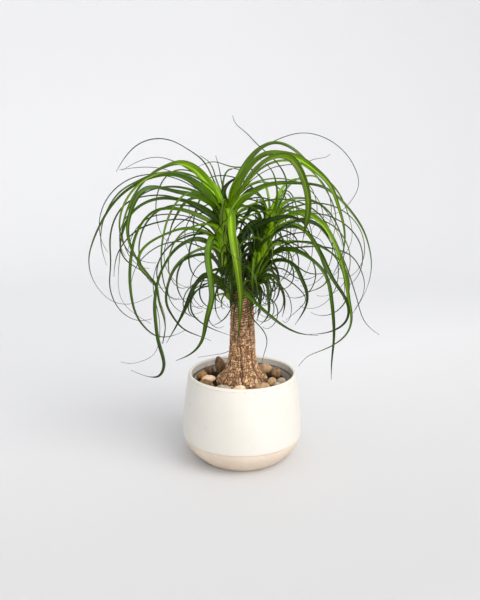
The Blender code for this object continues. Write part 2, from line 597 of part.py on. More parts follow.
def obstacles():
    """The trunk, the pot's mouth and the four stems, as balls along their centre lines."""
    crowd = Crowd()
    heights = np.arange(SOIL_TOP_Z, TRUNK_TOP_Z, 5.0)
    trunk = np.stack([0 * heights, 0 * heights, heights], 1)
    crowd.add(trunk, np.array([trunk_radius(z) for z in heights]), -1)
    turns = np.linspace(0, 2 * math.pi, 90, endpoint=False)
    for radius in MOUTH_RINGS:
        level = np.full(len(turns), GROW_RIM_Z + 1)
        ring = np.stack([radius * np.cos(turns), radius * np.sin(turns), level], 1)
        crowd.add(ring, np.full(len(turns), MOUTH_ROOM), -1)
    for number, (foot, top, foot_r, top_r) in enumerate(SHOOTS.values()):
        share = np.linspace(0, 1, 24)[:, None]
        stem = np.array(foot) + (np.array(top) - np.array(foot)) * share
        crowd.add(stem, foot_r + (top_r - foot_r) * share[:, 0] + 2.0, number)
    return crowd


def first_clear(crowd, line_at, width, taper, owner):
    """The line that needs the least swing, to either side, to clear all that is in place."""
    best = None
    for attempt in range(SIDE_TRIES):
        side = (attempt + 1) // 2 * (1 if attempt % 2 else -1)
        line = line_at(side * SIDE_STEP)
        room = crowd.room(line, width, taper, owner)
        if best is None or room > best[0]:
            best = (room, line)
        if room >= 0:
            return room, line
    return best


def settle_leaves():
    """Every leaf's line, width, taper and twist, by head: the drawn ones first, then the fill."""
    crowd = obstacles()
    leaves = {shoot: [] for shoot in SHOOTS}
    for owner, shoot in enumerate(SHOOTS):
        for width, taper, swing, twist, seen in DRAWN[shoot]:
            _, line = first_clear(
                crowd, lambda side: drawn_line(shoot, swing + side, seen), width, taper, owner)
            keep(crowd, leaves[shoot], line, width, taper, twist, owner)
    draw = np.random.default_rng(SEED)
    for owner, shoot in enumerate(SHOOTS):
        count, longest, shortest, widest, low_rise, high_rise = FILL[shoot]
        foot, top, _, _ = SHOOTS[shoot]
        for i in range(count):
            share = (i + 0.5) / count
            heading = i * GOLDEN_ANGLE + draw.uniform(-12, 12)
            rise = low_rise + (high_rise - low_rise) * share + draw.uniform(-8, 8)
            length = longest + (shortest - longest) * abs(share - 0.45) + draw.uniform(-40, 30)
            width = widest * draw.uniform(0.6, 1.0) * (1.0 - YOUNG_SHARE * share)
            sway = draw.uniform(-35, 35)
            twist = draw.uniform(-50, 50)
            lift = draw.uniform(0, HANG_SPREAD)
            low = foot[2] + LOWEST_LEAF * (top[2] - foot[2])
            root = stem_point(shoot, low + (top[2] - low) * share)
            if faces_front(heading):
                length *= FRONT_SHARE
            limit = hang_limit(root, heading, lift)
            while grown_line(root, heading, rise, length, sway)[:, 2].min() < limit:
                length *= SHORTER
            room, line = first_clear(
                crowd, lambda side: grown_line(root, heading + side, rise, length, sway),
                width, FILL_TAPER, owner)
            if room >= 0:
                keep(crowd, leaves[shoot], line, width, FILL_TAPER, twist, owner)
    return leaves


def keep(crowd, leaves, line, width, taper, twist, owner):
    points = evenly(line, CLEAR_STEP)
    radii = blade_width(np.linspace(0, 1, len(points)), width, taper) / 2
    crowd.add(points[1:], radii[1:], owner)
    leaves.append((line, width, taper, twist))


# Blades

def blade_width(run, width, taper):
    """Full width from a tenth of the run up, then a fall by the power taper to the tip."""
    return np.maximum(width * np.minimum(1.0, 0.8 + 2.0 * run) * (1.0 - run) ** taper, TIP_WIDTH)


def turning(run):
    """How much of its twist a blade has along its run: it comes in as a sine squared."""
    return np.sin(np.minimum(run / TURN_IN, 1.0) * math.pi / 2) ** 2


def blade_frame(line, twist):
    """Side and up directions along a blade: level across its heading, then turned about its
    own line by the twist."""
    along = np.gradient(line, axis=0)
    along /= np.linalg.norm(along, axis=1)[:, None]
    reach = line[len(line) // 2] - line[0]
    level = np.array([-reach[1], reach[0], 0.0])
    level /= max(np.linalg.norm(level), 1e-6)
    side = level - along * (along @ level)[:, None]
    side /= np.linalg.norm(side, axis=1)[:, None]
    up = np.cross(along, side)
    turn = np.radians(twist) * turning(np.linspace(0, 1, len(line)))
    cos = np.cos(turn)[:, None]
    sin = np.sin(turn)[:, None]
    return side * cos + up * sin, up * cos - side * sin


def turned_by(directions):
    """Degrees between each direction in a row and the one before it."""
    return np.degrees(np.arccos(np.clip(np.sum(directions[1:] * directions[:-1], axis=1), -1.0, 1.0)))


def ring_places(line, side):
    """Which points of a dense line carry a blade's rings: even in run plus bend plus twist, so
    that they stand closer where the leaf turns."""
    step = np.linalg.norm(np.diff(line, axis=0), axis=1)
    along = np.gradient(line, axis=0)
    along /= np.linalg.norm(along, axis=1)[:, None]
    cost = step / RING_RUN + turned_by(along) / RING_BEND + turned_by(side) / RING_TWIST
    at = np.concatenate([[0.0], np.cumsum(cost)])
    count = max(FEWEST_RINGS, int(round(at[-1])) + 1)
    return np.minimum(np.searchsorted(at, np.linspace(0, at[-1], count)), len(line) - 1)


def blade(line, width, taper, twist):
    """Points and triangles of one blade: each ring is its left edge, right edge and keel. The
    top and the underside are split along diagonals that run the same way, so a twisted blade
    keeps its thickness."""
    side, up = blade_frame(line, twist)
    at = ring_places(line, side)
    points, side, up = line[at], side[at], up[at]
    across = blade_width(at / (len(line) - 1), width, taper)[:, None] / 2
    keel = np.maximum(2 * across * KEEL_SHARE, THINNEST)
    rings = np.stack([points + side * across, points - side * across, points - up * keel], 1)
    faces = [(2, 1, 0), (3 * len(at) - 3, 3 * len(at) - 2, 3 * len(at) - 1)]
    for left in range(0, 3 * (len(at) - 1), 3):
        right = left + 1
        low = left + 2
        faces += [(left, right, right + 3), (left, right + 3, left + 3)]
        faces += [(low, left, low + 3), (left, left + 3, low + 3)]
        faces += [(right, low, right + 3), (low, low + 3, right + 3)]
    return rings.reshape(-1, 3), faces


# Heads

def make_stem(shoot, home):
    """A round shoot from its socket to its top, a little thicker half way up."""
    foot, top, foot_r, top_r = SHOOTS[shoot]
    foot = np.array(foot)
    top = np.array(top)
    along = (top - foot) / np.linalg.norm(top - foot)
    across = np.cross(along, (0.0, 1.0, 0.0))
    across /= np.linalg.norm(across)
    other = np.cross(along, across)
    turns = np.linspace(0, 2 * math.pi, STEM_SIDES, endpoint=False)[:, None]
    circle = np.cos(turns) * across + np.sin(turns) * other
    rings = []
    for share in STEM_RINGS:
        radius = (foot_r + (top_r - foot_r) * share) * (1.0 + STEM_BULGE * math.sin(math.pi * share))
        radius *= STEM_CROWN if share == 1.0 else 1.0
        rings.append(foot + (top - foot) * share + radius * circle)
    points, faces = loft(rings)
    return add_mesh(shoot, points, faces, home, "leaf")


def make_head(shoot, leaves, home, cutters):
    """The stem with every blade's root sunk in it, joined into one body."""
    stem = make_stem(shoot, home)
    bunch = bpy.data.collections.new(shoot + "_blades")
    cutters.children.link(bunch)
    for i, leaf in enumerate(leaves):
        points, faces = blade(*leaf)
        add_mesh(shoot + "_blade_" + str(i), points, faces, bunch)
    join = stem.modifiers.new("Join", "BOOLEAN")
    join.operation = "UNION"
    join.operand_type = "COLLECTION"
    join.solver = "MANIFOLD"
    join.collection = bunch
    joined = bpy.data.meshes.new_from_object(stem.evaluated_get(bpy.context.evaluated_depsgraph_get()))
    stem.modifiers.clear()
    stem.data = joined
    for obj in list(bunch.objects):
        bpy.data.objects.remove(obj, do_unlink=True)
    bpy.data.collections.remove(bunch)
    keep_largest_body(stem)
    return stem


def keep_largest_body(obj):
    """Drop loose scraps and fill sealed hollows: only the largest connected skin stays."""
    mesh = obj.data
    group = list(range(len(mesh.vertices)))

    def leader(i):
        while group[i] != i:
            group[i] = group[group[i]]
            i = group[i]
        return i

    for edge in mesh.edges:
        a, b = leader(edge.vertices[0]), leader(edge.vertices[1])
        group[a] = b
    count = {}
    for i in range(len(group)):
        count[leader(i)] = count.get(leader(i), 0) + 1
    largest = max(count, key=count.get)
    stay = [i for i in range(len(group)) if leader(i) == largest]
    number = {old: new for new, old in enumerate(stay)}
    points = [tuple(mesh.vertices[i].co) for i in stay]
    kept = [face for face in mesh.polygons if face.vertices[0] in number]
    faces = [[number[i] for i in face.vertices] for face in kept]
    slot = mesh.materials[0]
    clean = bpy.data.meshes.new(obj.name)
    clean.from_pydata(points, [], faces)
    clean.materials.append(slot)
    obj.data = clean


# Pebbles

def make_pebble(number, home, angle, distance, length, width, height, turn, tilt, colour):
    """An egg-like stone: a ball squeezed to its three sizes, fuller at one end, lying on the soil."""
    bpy.ops.mesh.primitive_ico_sphere_add(subdivisions=2, radius=1.0)
    pebble = bpy.context.object
    pebble.name = f"pebble_{number:02d}"
    for old in list(pebble.users_collection):
        old.objects.unlink(pebble)
    home.objects.link(pebble)
    spin = Euler((0.0, math.radians(tilt), math.radians(turn + angle))).to_matrix()
    half = Vector((length / 2, width / 2, height / 2))
    places = []
    for vertex in pebble.data.vertices:
        x, y, z = vertex.co
        full = 1.0 + STONE_FULLNESS * x + STONE_WOBBLE * math.sin(3 * y + number)
        places.append(spin @ Vector((x * half.x, y * full * half.y, z * full * half.z)))
    lowest = min(place.z for place in places)
    x = distance * math.cos(math.radians(angle))
    y = distance * math.sin(math.radians(angle))
    for vertex, place in zip(pebble.data.vertices, places):
        vertex.co = (place + Vector((x, y, SOIL_TOP_Z + GAP - lowest))) * MM
    pebble.data.materials.append(material(pebble.name, colour))
    return pebble


def build():
    start_clean()
    home = collection("potted_ponytail_palm")
    cutters = collection("cutters")
    make_pot(home)
    make_grow_pot(home, cutters)
    make_soil(home)
    make_trunk(home, cutters)
    for shoot, leaves in settle_leaves().items():
        make_head(shoot, leaves, home, cutters)
    for number, stone in enumerate(PEBBLES, 1):
        make_pebble(number, home, *stone)


build()
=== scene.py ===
# A ponytail palm in a two-tone stoneware pot: the finished surfaces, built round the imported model.
# Sizes are in mm and are turned to metres as each mesh is made. +Z is up and the front is -Y.

import math

import bpy
import numpy as np
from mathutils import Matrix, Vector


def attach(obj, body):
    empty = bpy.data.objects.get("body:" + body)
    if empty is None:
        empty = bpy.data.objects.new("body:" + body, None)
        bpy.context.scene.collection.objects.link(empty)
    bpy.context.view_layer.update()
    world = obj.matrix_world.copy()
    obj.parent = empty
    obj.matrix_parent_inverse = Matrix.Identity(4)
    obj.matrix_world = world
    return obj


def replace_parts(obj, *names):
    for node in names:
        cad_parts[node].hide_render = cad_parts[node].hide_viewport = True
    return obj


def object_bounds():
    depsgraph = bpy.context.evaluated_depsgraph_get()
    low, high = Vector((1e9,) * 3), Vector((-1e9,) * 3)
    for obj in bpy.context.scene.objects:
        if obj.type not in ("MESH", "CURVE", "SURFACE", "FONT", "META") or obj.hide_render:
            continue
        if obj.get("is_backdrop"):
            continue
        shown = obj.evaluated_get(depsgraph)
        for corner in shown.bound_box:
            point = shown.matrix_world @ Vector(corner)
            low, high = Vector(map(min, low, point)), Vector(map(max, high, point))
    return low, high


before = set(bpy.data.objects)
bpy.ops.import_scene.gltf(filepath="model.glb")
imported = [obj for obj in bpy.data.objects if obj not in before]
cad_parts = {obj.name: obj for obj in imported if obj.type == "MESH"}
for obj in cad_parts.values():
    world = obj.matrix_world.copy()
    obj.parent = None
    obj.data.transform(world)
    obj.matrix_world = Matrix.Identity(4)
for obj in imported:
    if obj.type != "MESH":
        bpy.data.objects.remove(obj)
cad_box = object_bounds()


# The view
# The camera stands a metre in front of the pot, level with the leaves, and looks down a little.
# Its height, tilt and lens were fitted to the pot's rim and foot as the photo shows them.

MM = 0.001
EYE = (-2.0, -1000.0, 492.0)
LOOK_DOWN = 12.47                # degrees below the level
LENS = 37.26                     # for a 36 mm sensor on the picture's longer side
RIGHT_SHIFT = -0.0018            # share of the longer side

lens = bpy.data.cameras.new("camera")
lens.lens = LENS
lens.shift_x = RIGHT_SHIFT
camera = bpy.data.objects.new("camera", lens)
camera.location = [c * MM for c in EYE]
camera.rotation_euler = (math.radians(90.0 - LOOK_DOWN), 0.0, 0.0)
bpy.context.scene.collection.objects.link(camera)
bpy.context.scene.camera = camera
bpy.context.scene.view_settings.view_transform = "Standard"


# The paper's greys are painted shade: darker towards the front and the right, lighter towards the left.
# Floor and light
# A pale seamless sweep: a wide floor that curves up into a wall all round, matt white paper.
# A broad lamp stands at the upper right in front, a weaker one lower down in front, and the
# open top of the sweep lets in even light from above.

SWEEP_FLOOR = 1700.0
SWEEP_BEND = 1300.0
SWEEP_TOP = 3200.0
SWEEP_SIDES = 96
PAPER = (0.93, 0.93, 0.94)
PAINTED_SHADE_SLOPE = 0.28               # how fast the paper's painted shade changes for each metre back
PAINTED_SHADE_TILT = -0.15               # and for each metre to the right
PAINTED_SHADE_START = 0.13               # its place in the run of painted shade under the pot
# Painted shade: a run of greys that darkens the paper from its own white
PAPER_PAINTED_SHADE = ((0.0, (0.52, 0.515, 0.52)), (0.25, (0.76, 0.76, 0.77)), (0.6, (0.84, 0.84, 0.85)),
               (1.0, PAPER))
# Each lamp: its place, the point that it faces, size, watts, colour
LAMPS = {
    "key_lamp": ((1450.0, -1150.0, 1900.0), (0.0, 0.0, 280.0), 1800.0, 50.0, (1.0, 0.985, 0.96)),
    "fill_lamp": ((250.0, -1500.0, 800.0), (0.0, 0.0, 200.0), 900.0, 9.0, (1.0, 0.99, 0.97)),
}
SKY_COLOUR = (0.97, 0.985, 1.0, 1.0)
SKY_STRENGTH = 0.915


def skin(rings):
    """Points, quads and triangles of a closed skin: the rings run anticlockwise round the way
    that they follow each other, neighbours are joined by quads, and the first and last ring are
    each closed by a fan to their middle."""
    count, around = rings.shape[:2]
    here = np.arange(around)
    after = (here + 1) % around
    low = np.arange(count - 1)[:, None] * around
    quads = np.stack([low + here, low + after, low + around + after, low + around + here], -1)
    first = np.stack([np.full(around, count * around), after, here], -1)
    top = (count - 1) * around
    last = np.stack([np.full(around, count * around + 1), top + here, top + after], -1)
    points = np.concatenate([rings.reshape(-1, 3), rings[:1].mean(1), rings[-1:].mean(1)])
    return points, quads.reshape(-1, 4), np.concatenate([first, last])


def put_mesh(name, points, quads, fans, finishes=(), **values):
    """A smooth mesh object from points in mm, with its materials and with one float attribute
    for each of values."""
    mesh = bpy.data.meshes.new(name)
    mesh.vertices.add(len(points))
    mesh.vertices.foreach_set("co", (points * MM).astype(np.float32).ravel())
    corners = np.concatenate([quads.ravel(), fans.ravel()]).astype(np.int32)
    sizes = np.concatenate([np.full(len(quads), 4), np.full(len(fans), 3)])
    mesh.loops.add(len(corners))
    mesh.loops.foreach_set("vertex_index", corners)
    mesh.polygons.add(len(sizes))
    mesh.polygons.foreach_set("loop_start", (np.cumsum(sizes) - sizes).astype(np.int32))
    mesh.update(calc_edges=True)
    for key, numbers in values.items():
        layer = mesh.attributes.new(key, "FLOAT", "POINT")
        layer.data.foreach_set("value", np.asarray(numbers, np.float32))
    mesh.shade_smooth()
    for finish in finishes:
        mesh.materials.append(finish)
    made = bpy.data.objects.new(name, mesh)
    bpy.context.scene.collection.objects.link(made)
    return made


def full_turn(sides):
    """Even angles all round, in radians, the last one step short of the first."""
    return np.linspace(0.0, 2 * math.pi, sides, endpoint=False)


def polar(radius, turn, height):
    """Points at a distance from the axis, a way round it and a height: (r cos, r sin, z)."""
    x, y = radius * np.cos(turn), radius * np.sin(turn)
    return np.stack(np.broadcast_arrays(x, y, height), -1)


def turned(profile, sides):
    """Rings of a turned piece: each (r, z) of the profile carried once round the axis."""
    r, z = np.asarray(profile, float).T[..., None]
    return polar(r, full_turn(sides), z)


def arc(centre_r, centre_z, radius, start, end, count):
    """Points (r, z) along a circle in the profile's plane, angles in degrees."""
    turn = np.radians(np.linspace(start, end, count))
    return np.stack([centre_r + radius * np.cos(turn), centre_z + radius * np.sin(turn)], 1)


class Finish:
    """A material under construction: its nodes, its links and its Principled shader."""

    def __init__(self, name, colour, roughness):
        self.material = bpy.data.materials.new(name)
        self.material.use_nodes = True
        self.tree = self.material.node_tree
        self.shader = self.tree.nodes["Principled BSDF"]
        self.shader.inputs["Base Color"].default_value = (*colour, 1.0)
        self.shader.inputs["Roughness"].default_value = roughness

    def add(self, kind, sockets=None, **settings):
        """A node with its settings, and values or links for its input sockets."""
        made = self.tree.nodes.new("ShaderNode" + kind)
        for key, value in settings.items():
            setattr(made, key, value)
        for socket, value in (sockets or {}).items():
            self.feed(made.inputs[socket], value)
        return made

    def feed(self, socket, value):
        """A link where value is another node's output, otherwise a plain value."""
        if isinstance(value, bpy.types.NodeSocket):
            self.tree.links.new(value, socket)
        else:
            socket.default_value = value

    def place(self):
        """The point on the object, in metres."""
        return self.add("TexCoord").outputs["Object"]

    def along(self, axis):
        """The point's distance along X, Y or Z, in metres."""
        return self.add("SeparateXYZ", {"Vector": self.place()}).outputs[axis]

    def read(self, name):
        """A float that the mesh carries at its points."""
        return self.add("Attribute", attribute_name=name).outputs["Fac"]

    def noise(self, scale, detail=3.0, rough=0.55, where=None):
        """Cloudy noise round 0.5, its scale in cells for each metre."""
        sockets = {"Vector": where or self.place(), "Scale": scale, "Detail": detail, "Roughness": rough}
        return self.add("TexNoise", sockets).outputs["Fac"]

    def cells(self, scale):
        """The distance from the nearest of scattered points, in cells."""
        return self.add("TexVoronoi", {"Vector": self.place(), "Scale": scale}).outputs["Distance"]

    def ramp(self, value, *stops):
        """A smooth run of colours or greys, each stop a place and a colour or a number."""
        made = self.add("ValToRGB", {"Fac": value})
        run = made.color_ramp
        while len(run.elements) < len(stops):
            run.elements.new(0.5)
        for element, (at, colour) in zip(run.elements, stops):
            element.position = at
            element.color = (*np.broadcast_to(colour, 3), 1.0)
        return made.outputs["Color"]

    def blend(self, share, first, second, how="MIX"):
        """The first colour at share 0, the second at share 1."""
        made = self.add("Mix", data_type="RGBA", blend_type=how)
        self.feed(made.inputs[0], share)
        for socket, value in ((made.inputs[6], first), (made.inputs[7], second)):
            self.feed(socket, (*value, 1.0) if isinstance(value, tuple) else value)
        return made.outputs[2]

    def tint(self, first, second):
        """One colour multiplied by another."""
        return self.blend(1.0, first, second, "MULTIPLY")

    def maths(self, how, first, second=0.0):
        """One sum, named as the Math node names it."""
        return self.add("Math", {0: first, 1: second}, operation=how).outputs[0]

    def times(self, first, second):
        return self.maths("MULTIPLY", first, second)

    def colour(self, value):
        self.feed(self.shader.inputs["Base Color"], value)

    def gloss(self, value):
        self.feed(self.shader.inputs["Roughness"], value)

    def relief(self, height, depth_mm, strength=1.0):
        """Fine relief that the mesh is too coarse for, depth in mm."""
        bump = self.add("Bump", {"Height": height, "Distance": depth_mm * MM, "Strength": strength})
        self.tree.links.new(bump.outputs["Normal"], self.shader.inputs["Normal"])


def sweep_profile():
    """Floor, quarter circle and wall, from the middle outwards and up, with the floor's rows
    closer together near the middle."""
    floor = [(40.0 * k * k, 0.0) for k in range(1, 7)] + [(SWEEP_FLOOR, 0.0)]
    bend = arc(SWEEP_FLOOR, SWEEP_BEND, SWEEP_BEND, -88.0, 0.0, 23)
    wall = [(SWEEP_FLOOR + SWEEP_BEND, SWEEP_TOP)]
    return np.concatenate([floor, bend, wall])


def paper_painted_shade_finish():
    """White paper with painted shade: a run of greys, darker towards the front and the right, lighter towards
    the back and the left.
    """
    paper = Finish("sweep_paper", PAPER, 0.9)
    # The paper's painted shade: its grey comes from how far back and how far right the point is.
    back = paper.maths("ADD", paper.times(paper.along("Y"), PAINTED_SHADE_SLOPE), PAINTED_SHADE_START)
    back = paper.maths("ADD", back, paper.times(paper.along("X"), PAINTED_SHADE_TILT))
    paper.colour(paper.ramp(back, *PAPER_PAINTED_SHADE))
    return paper.material


def make_sweep():
    """The profile turned, its skin facing inwards, closed at the middle of the floor alone."""
    points, quads, fans = skin(turned(sweep_profile(), SWEEP_SIDES)[:, ::-1])
    sweep = put_mesh("sweep", points[:-1], quads, fans[:SWEEP_SIDES], [paper_painted_shade_finish()])
    sweep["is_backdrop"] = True


def lamp(name, place, target, size, watts, colour):
    """A square lamp that faces the target, places in mm."""
    light = bpy.data.lights.new(name, "AREA")
    light.size = size * MM
    light.energy = watts
    light.color = colour
    made = bpy.data.objects.new(name, light)
    aim = np.subtract(target, place)
    made.location = [c * MM for c in place]
    flat = math.hypot(aim[0], aim[1])
    made.rotation_euler = (math.atan2(flat, -aim[2]), 0.0, math.atan2(aim[1], aim[0]) - math.pi / 2)
    bpy.context.scene.collection.objects.link(made)


make_sweep()
for name, form in LAMPS.items():
    lamp(name, *form)
sky = bpy.data.worlds.new("studio")
sky.use_nodes = True
sky.node_tree.nodes["Background"].inputs["Color"].default_value = SKY_COLOUR
sky.node_tree.nodes["Background"].inputs["Strength"].default_value = SKY_STRENGTH
bpy.context.scene.world = sky


# The stoneware pot
# One thrown vessel. A satin cream glaze covers it inside and out down to just under its widest
# line, where it ends in a thick rolled edge. Below that the clay is bare, beige and matt.

POT_HEIGHT = 148.0
POT_RIM_R = 90.5
POT_WIDEST_R = 101.5
POT_WIDEST_Z = 44.0
GLAZE_EDGE_Z = 41.0
GLAZED_STEP = 0.9                # how far the glaze stands out from the bare clay at its edge
GLAZE_ROLL_R = 1.3               # the rounding of that edge
BARE_TOP_R = 99.3
BARE_FOOT_R = 71.0
FOOT_ROUND = ((3.0, 0.0), (1.2, 0.15), (0.3, 0.8))    # how far in and up the foot's edge is worn
POT_WALL = 5.0
POT_FLOOR = 7.0
POT_SIDES = 200
CORE_R = 0.5                     # every turned piece is closed inside this radius by a flat fan
# A thrown wall is never quite round: percent of the radius, waves round, lean for each mm up
UNEVEN = ((0.18, 2, 0.02), (0.1, 5, -0.05))
UNEVEN_FROM = 20.0               # the foot is true, and above this height the waves are full
GLAZE_TONES = ((0.3, (0.73, 0.695, 0.63)), (0.7, (0.775, 0.75, 0.69)))
GLAZE_THIN = (0.8, 0.71, 0.56)   # where the clay shows through, on the rim and at the lower edge
GLAZE_WORN = (0.4, 0.29, 0.18)
GLAZE_SPECK = (0.3, 0.2, 0.11)
# Painted light: the inside of the wall gets a brighter cream than the outside, to lift its shade
GLAZE_INSIDE_PAINTED_LIGHT = (0.97, 0.935, 0.86)
CLAY_TONES = ((0.3, (0.73, 0.6, 0.475)), (0.7, (0.83, 0.715, 0.59)))
CLAY_GRIT = (0.42, 0.3, 0.2)


def glazed_wall(z):
    """Above the widest line the wall leans in as a quarter sine."""
    part = (POT_HEIGHT - z) / (POT_HEIGHT - POT_WIDEST_Z)
    return POT_RIM_R + (POT_WIDEST_R - POT_RIM_R) * np.sin(part * math.pi / 2)


def bare_wall(z):
    """Below the glaze the clay curves in to the foot as a quarter circle drawn wide."""
    return BARE_FOOT_R + (BARE_TOP_R - BARE_FOOT_R) * np.cos((1 - z / GLAZE_EDGE_Z) * math.pi / 2)


def outer_wall(z):
    """The glazed wall above the widest line and the bare one below it."""
    return np.where(z > POT_WIDEST_Z, glazed_wall(z), bare_wall(z))


def up_wall(radius_at, z, out=0.0):
    """A wall's profile: its radius at each height, moved outwards by out."""
    return np.stack([radius_at(z) + out, z], 1)


def pot_profile():
    """From the middle of the underside up the outer wall, over the rim and down to the floor."""
    under = [(r, 0.0) for r in (CORE_R, 20.0, 40.0, 60.0)]
    foot = [(BARE_FOOT_R - inwards, z) for inwards, z in FOOT_ROUND]
    bare_z = np.concatenate([np.linspace(1.8, 36.0, 26), np.linspace(37.0, GLAZE_EDGE_Z - 0.8, 5)])
    edge_r = BARE_TOP_R + GLAZED_STEP
    roll = arc(edge_r - 0.2, GLAZE_EDGE_Z + 1.0, GLAZE_ROLL_R, -80.0, 0.0, 8)
    wall_z = np.linspace(POT_WIDEST_Z, POT_HEIGHT - 3.0, 60)
    half = POT_WALL / 2
    rim = arc(POT_RIM_R - half, POT_HEIGHT - half, half, 0.0, 180.0, 15)
    inner_z = np.linspace(POT_HEIGHT - 4.0, 14.0, 40)
    floor = [(r, POT_FLOOR) for r in (BARE_FOOT_R - POT_WALL, 45.0, 20.0, CORE_R)]
    return np.concatenate([under, foot, up_wall(bare_wall, bare_z), roll, up_wall(glazed_wall, wall_z),
                           rim, up_wall(outer_wall, inner_z, -POT_WALL), floor])


def glaze_finish():
    """Cream glaze: cloudy, thinner and warmer on the rim and at its lower edge, with a worn brown
    line under the rim and a few brown specks. Inside the wall a brighter cream is painted light."""
    glaze = Finish("cream_glaze", (0.86, 0.82, 0.74), 0.3)
    body = glaze.ramp(glaze.noise(14.0, 4.0, 0.6), *GLAZE_TONES)
    level = glaze.maths("ADD", glaze.along("Z"), glaze.times(glaze.noise(60.0), 0.002))
    low = glaze.ramp(glaze.times(level, 10.0), (0.4, 1.0), (0.455, 0.0))
    near_top = glaze.times(glaze.maths("SUBTRACT", level, 0.1), 20.0)
    thin = glaze.maths("MAXIMUM", low, glaze.ramp(near_top, (0.88, 0.0), (0.96, 1.0)))
    tone = glaze.blend(glaze.times(thin, 0.35), body, GLAZE_THIN)
    near_rim = glaze.times(glaze.maths("SUBTRACT", level, 0.14), 100.0)
    line = glaze.ramp(near_rim, (0.36, 0.0), (0.46, 1.0), (0.56, 0.0))
    worn = glaze.ramp(glaze.noise(90.0, 3.0), (0.4, 0.08), (0.62, 0.5))
    tone = glaze.blend(glaze.times(line, worn), tone, GLAZE_WORN)
    rare = glaze.ramp(glaze.noise(35.0, 1.0), (0.6, 0.0), (0.66, 1.0))
    dots = glaze.times(glaze.ramp(glaze.cells(120.0), (0.03, 1.0), (0.06, 0.0)), rare)
    outer = glaze.blend(glaze.times(dots, 0.6), tone, GLAZE_SPECK)
    # Painted light: the inside of the wall takes a brighter cream than the outside.
    glaze.colour(glaze.blend(glaze.read("inside"), outer, GLAZE_INSIDE_PAINTED_LIGHT))
    glaze.gloss(glaze.ramp(glaze.noise(30.0), (0.3, 0.27), (0.7, 0.36)))
    glaze.relief(glaze.noise(220.0, 2.0), 0.05)
    return glaze.material


def clay_finish():
    """Bare stoneware: beige, matt, with sandy grit and a few darker grains."""
    clay = Finish("bare_clay", (0.68, 0.56, 0.44), 0.85)
    tone = clay.ramp(clay.noise(25.0, 5.0, 0.65), *CLAY_TONES)
    grit = clay.ramp(clay.cells(900.0), (0.1, 1.0), (0.3, 0.0))
    clay.colour(clay.blend(clay.times(grit, 0.16), tone, CLAY_GRIT))
    clay.gloss(clay.ramp(clay.noise(80.0), (0.3, 0.78), (0.7, 0.92)))
    clay.relief(clay.noise(900.0, 3.0), 0.25)
    return clay.material


def make_pot():
    """The profile turned, its outside made a little uneven. The faces below the glaze's edge
    are clay, and the inside of the wall is marked for the glaze's brighter cream, which is painted light."""
    profile = pot_profile()
    rings = turned(profile, POT_SIDES)
    turn = np.arctan2(rings[..., 1], rings[..., 0])
    height = rings[..., 2]
    uneven = sum(percent * np.sin(waves * turn + lean * height) for percent, waves, lean in UNEVEN)
    swell = np.clip(height / UNEVEN_FROM, 0.0, 1.0) * uneven
    row, top_row = np.arange(len(profile)), np.argmax(profile[:, 1])
    rings[..., :2] *= 1.0 + (swell * (row < top_row)[:, None] / 100.0)[..., None]
    points, quads, fans = skin(rings)
    # The inside of the wall, marked for the glaze's painted light.
    inside = np.append(np.repeat(row > top_row + 3, POT_SIDES), [False, True])
    pot = put_mesh("stoneware_pot", points, quads, fans, [glaze_finish(), clay_finish()], inside=inside)
    bare_rows = int(np.argmax(profile[:, 1] > GLAZE_EDGE_Z - 0.5))
    slots = np.zeros(len(quads) + len(fans), np.int32)
    slots[:bare_rows * POT_SIDES] = 1
    slots[len(quads):len(quads) + POT_SIDES] = 1
    pot.data.polygons.foreach_set("material_index", slots)
    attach(pot, "root")
    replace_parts(pot, "pot")


make_pot()


# The grow pot
# A thin taupe plastic nursery pot with a rolled rim and drain holes in its floor. It stands
# inside the stoneware, its rim a little below the glazed one, and can be lifted out.

GROW_RIM_Z = 137.0
GROW_RIM_R = 84.0
GROW_RIM_OUT = 1.5               # how far the rolled rim stands out from the wall
GROW_FOOT_R = 62.0
GROW_WALL = 1.4
GROW_SIDES = 144
LIP_R = 1.0                      # the rounding of the rim's two edges
ROLL = ((1.2, 6.6), (0.3, 6.2), (0.0, 5.6))    # the roll's underside: in from the rim, down from it
GAP = 0.3
DRAIN_HOLE_R = 5.0
DRAIN_RING_R = 42.0
DRAIN_HOLES = 6
DRILL_SIDES = 24
PLASTIC = (0.58, 0.52, 0.43)
PLASTIC_DUST = (0.28, 0.21, 0.15)
# Painted shadow on the rim, for the dark gap between it and the stoneware wall
PLASTIC_RIM_PAINTED_SHADOW = (0.05, 0.045, 0.04)


def grow_inner_radius(z):
    """A plain cone from the foot to the rim."""
    part = (z - POT_FLOOR) / (GROW_RIM_Z - POT_FLOOR)
    return GROW_FOOT_R + (GROW_RIM_R - GROW_RIM_OUT - GROW_FOOT_R) * part - GROW_WALL


def grow_profile():
    """From under the floor up the outer wall, round the rolled rim and down inside."""
    low = POT_FLOOR + GAP
    floor = low + GROW_WALL
    rows = (CORE_R, 30.0, DRAIN_RING_R - 8, DRAIN_RING_R + 8)
    under = [(r, low) for r in (*rows, GROW_FOOT_R - 2)]
    outer = up_wall(grow_inner_radius, np.linspace(low + 2, GROW_RIM_Z - 7.0, 24), GROW_WALL)
    roll = [(GROW_RIM_R - inwards, GROW_RIM_Z - down) for inwards, down in ROLL]
    lip_z = GROW_RIM_Z - LIP_R
    lip = arc(GROW_RIM_R - LIP_R, lip_z, LIP_R, 0.0, 90.0, 6)
    ease = arc(grow_inner_radius(GROW_RIM_Z) + LIP_R, lip_z, LIP_R, 90.0, 180.0, 6)
    inner = up_wall(grow_inner_radius, np.linspace(GROW_RIM_Z - 2.5, floor + 2, 30))
    bottom = [(r, floor) for r in (GROW_FOOT_R - 4, *rows[::-1])]
    return np.concatenate([under, outer, roll, lip, ease, inner, bottom])


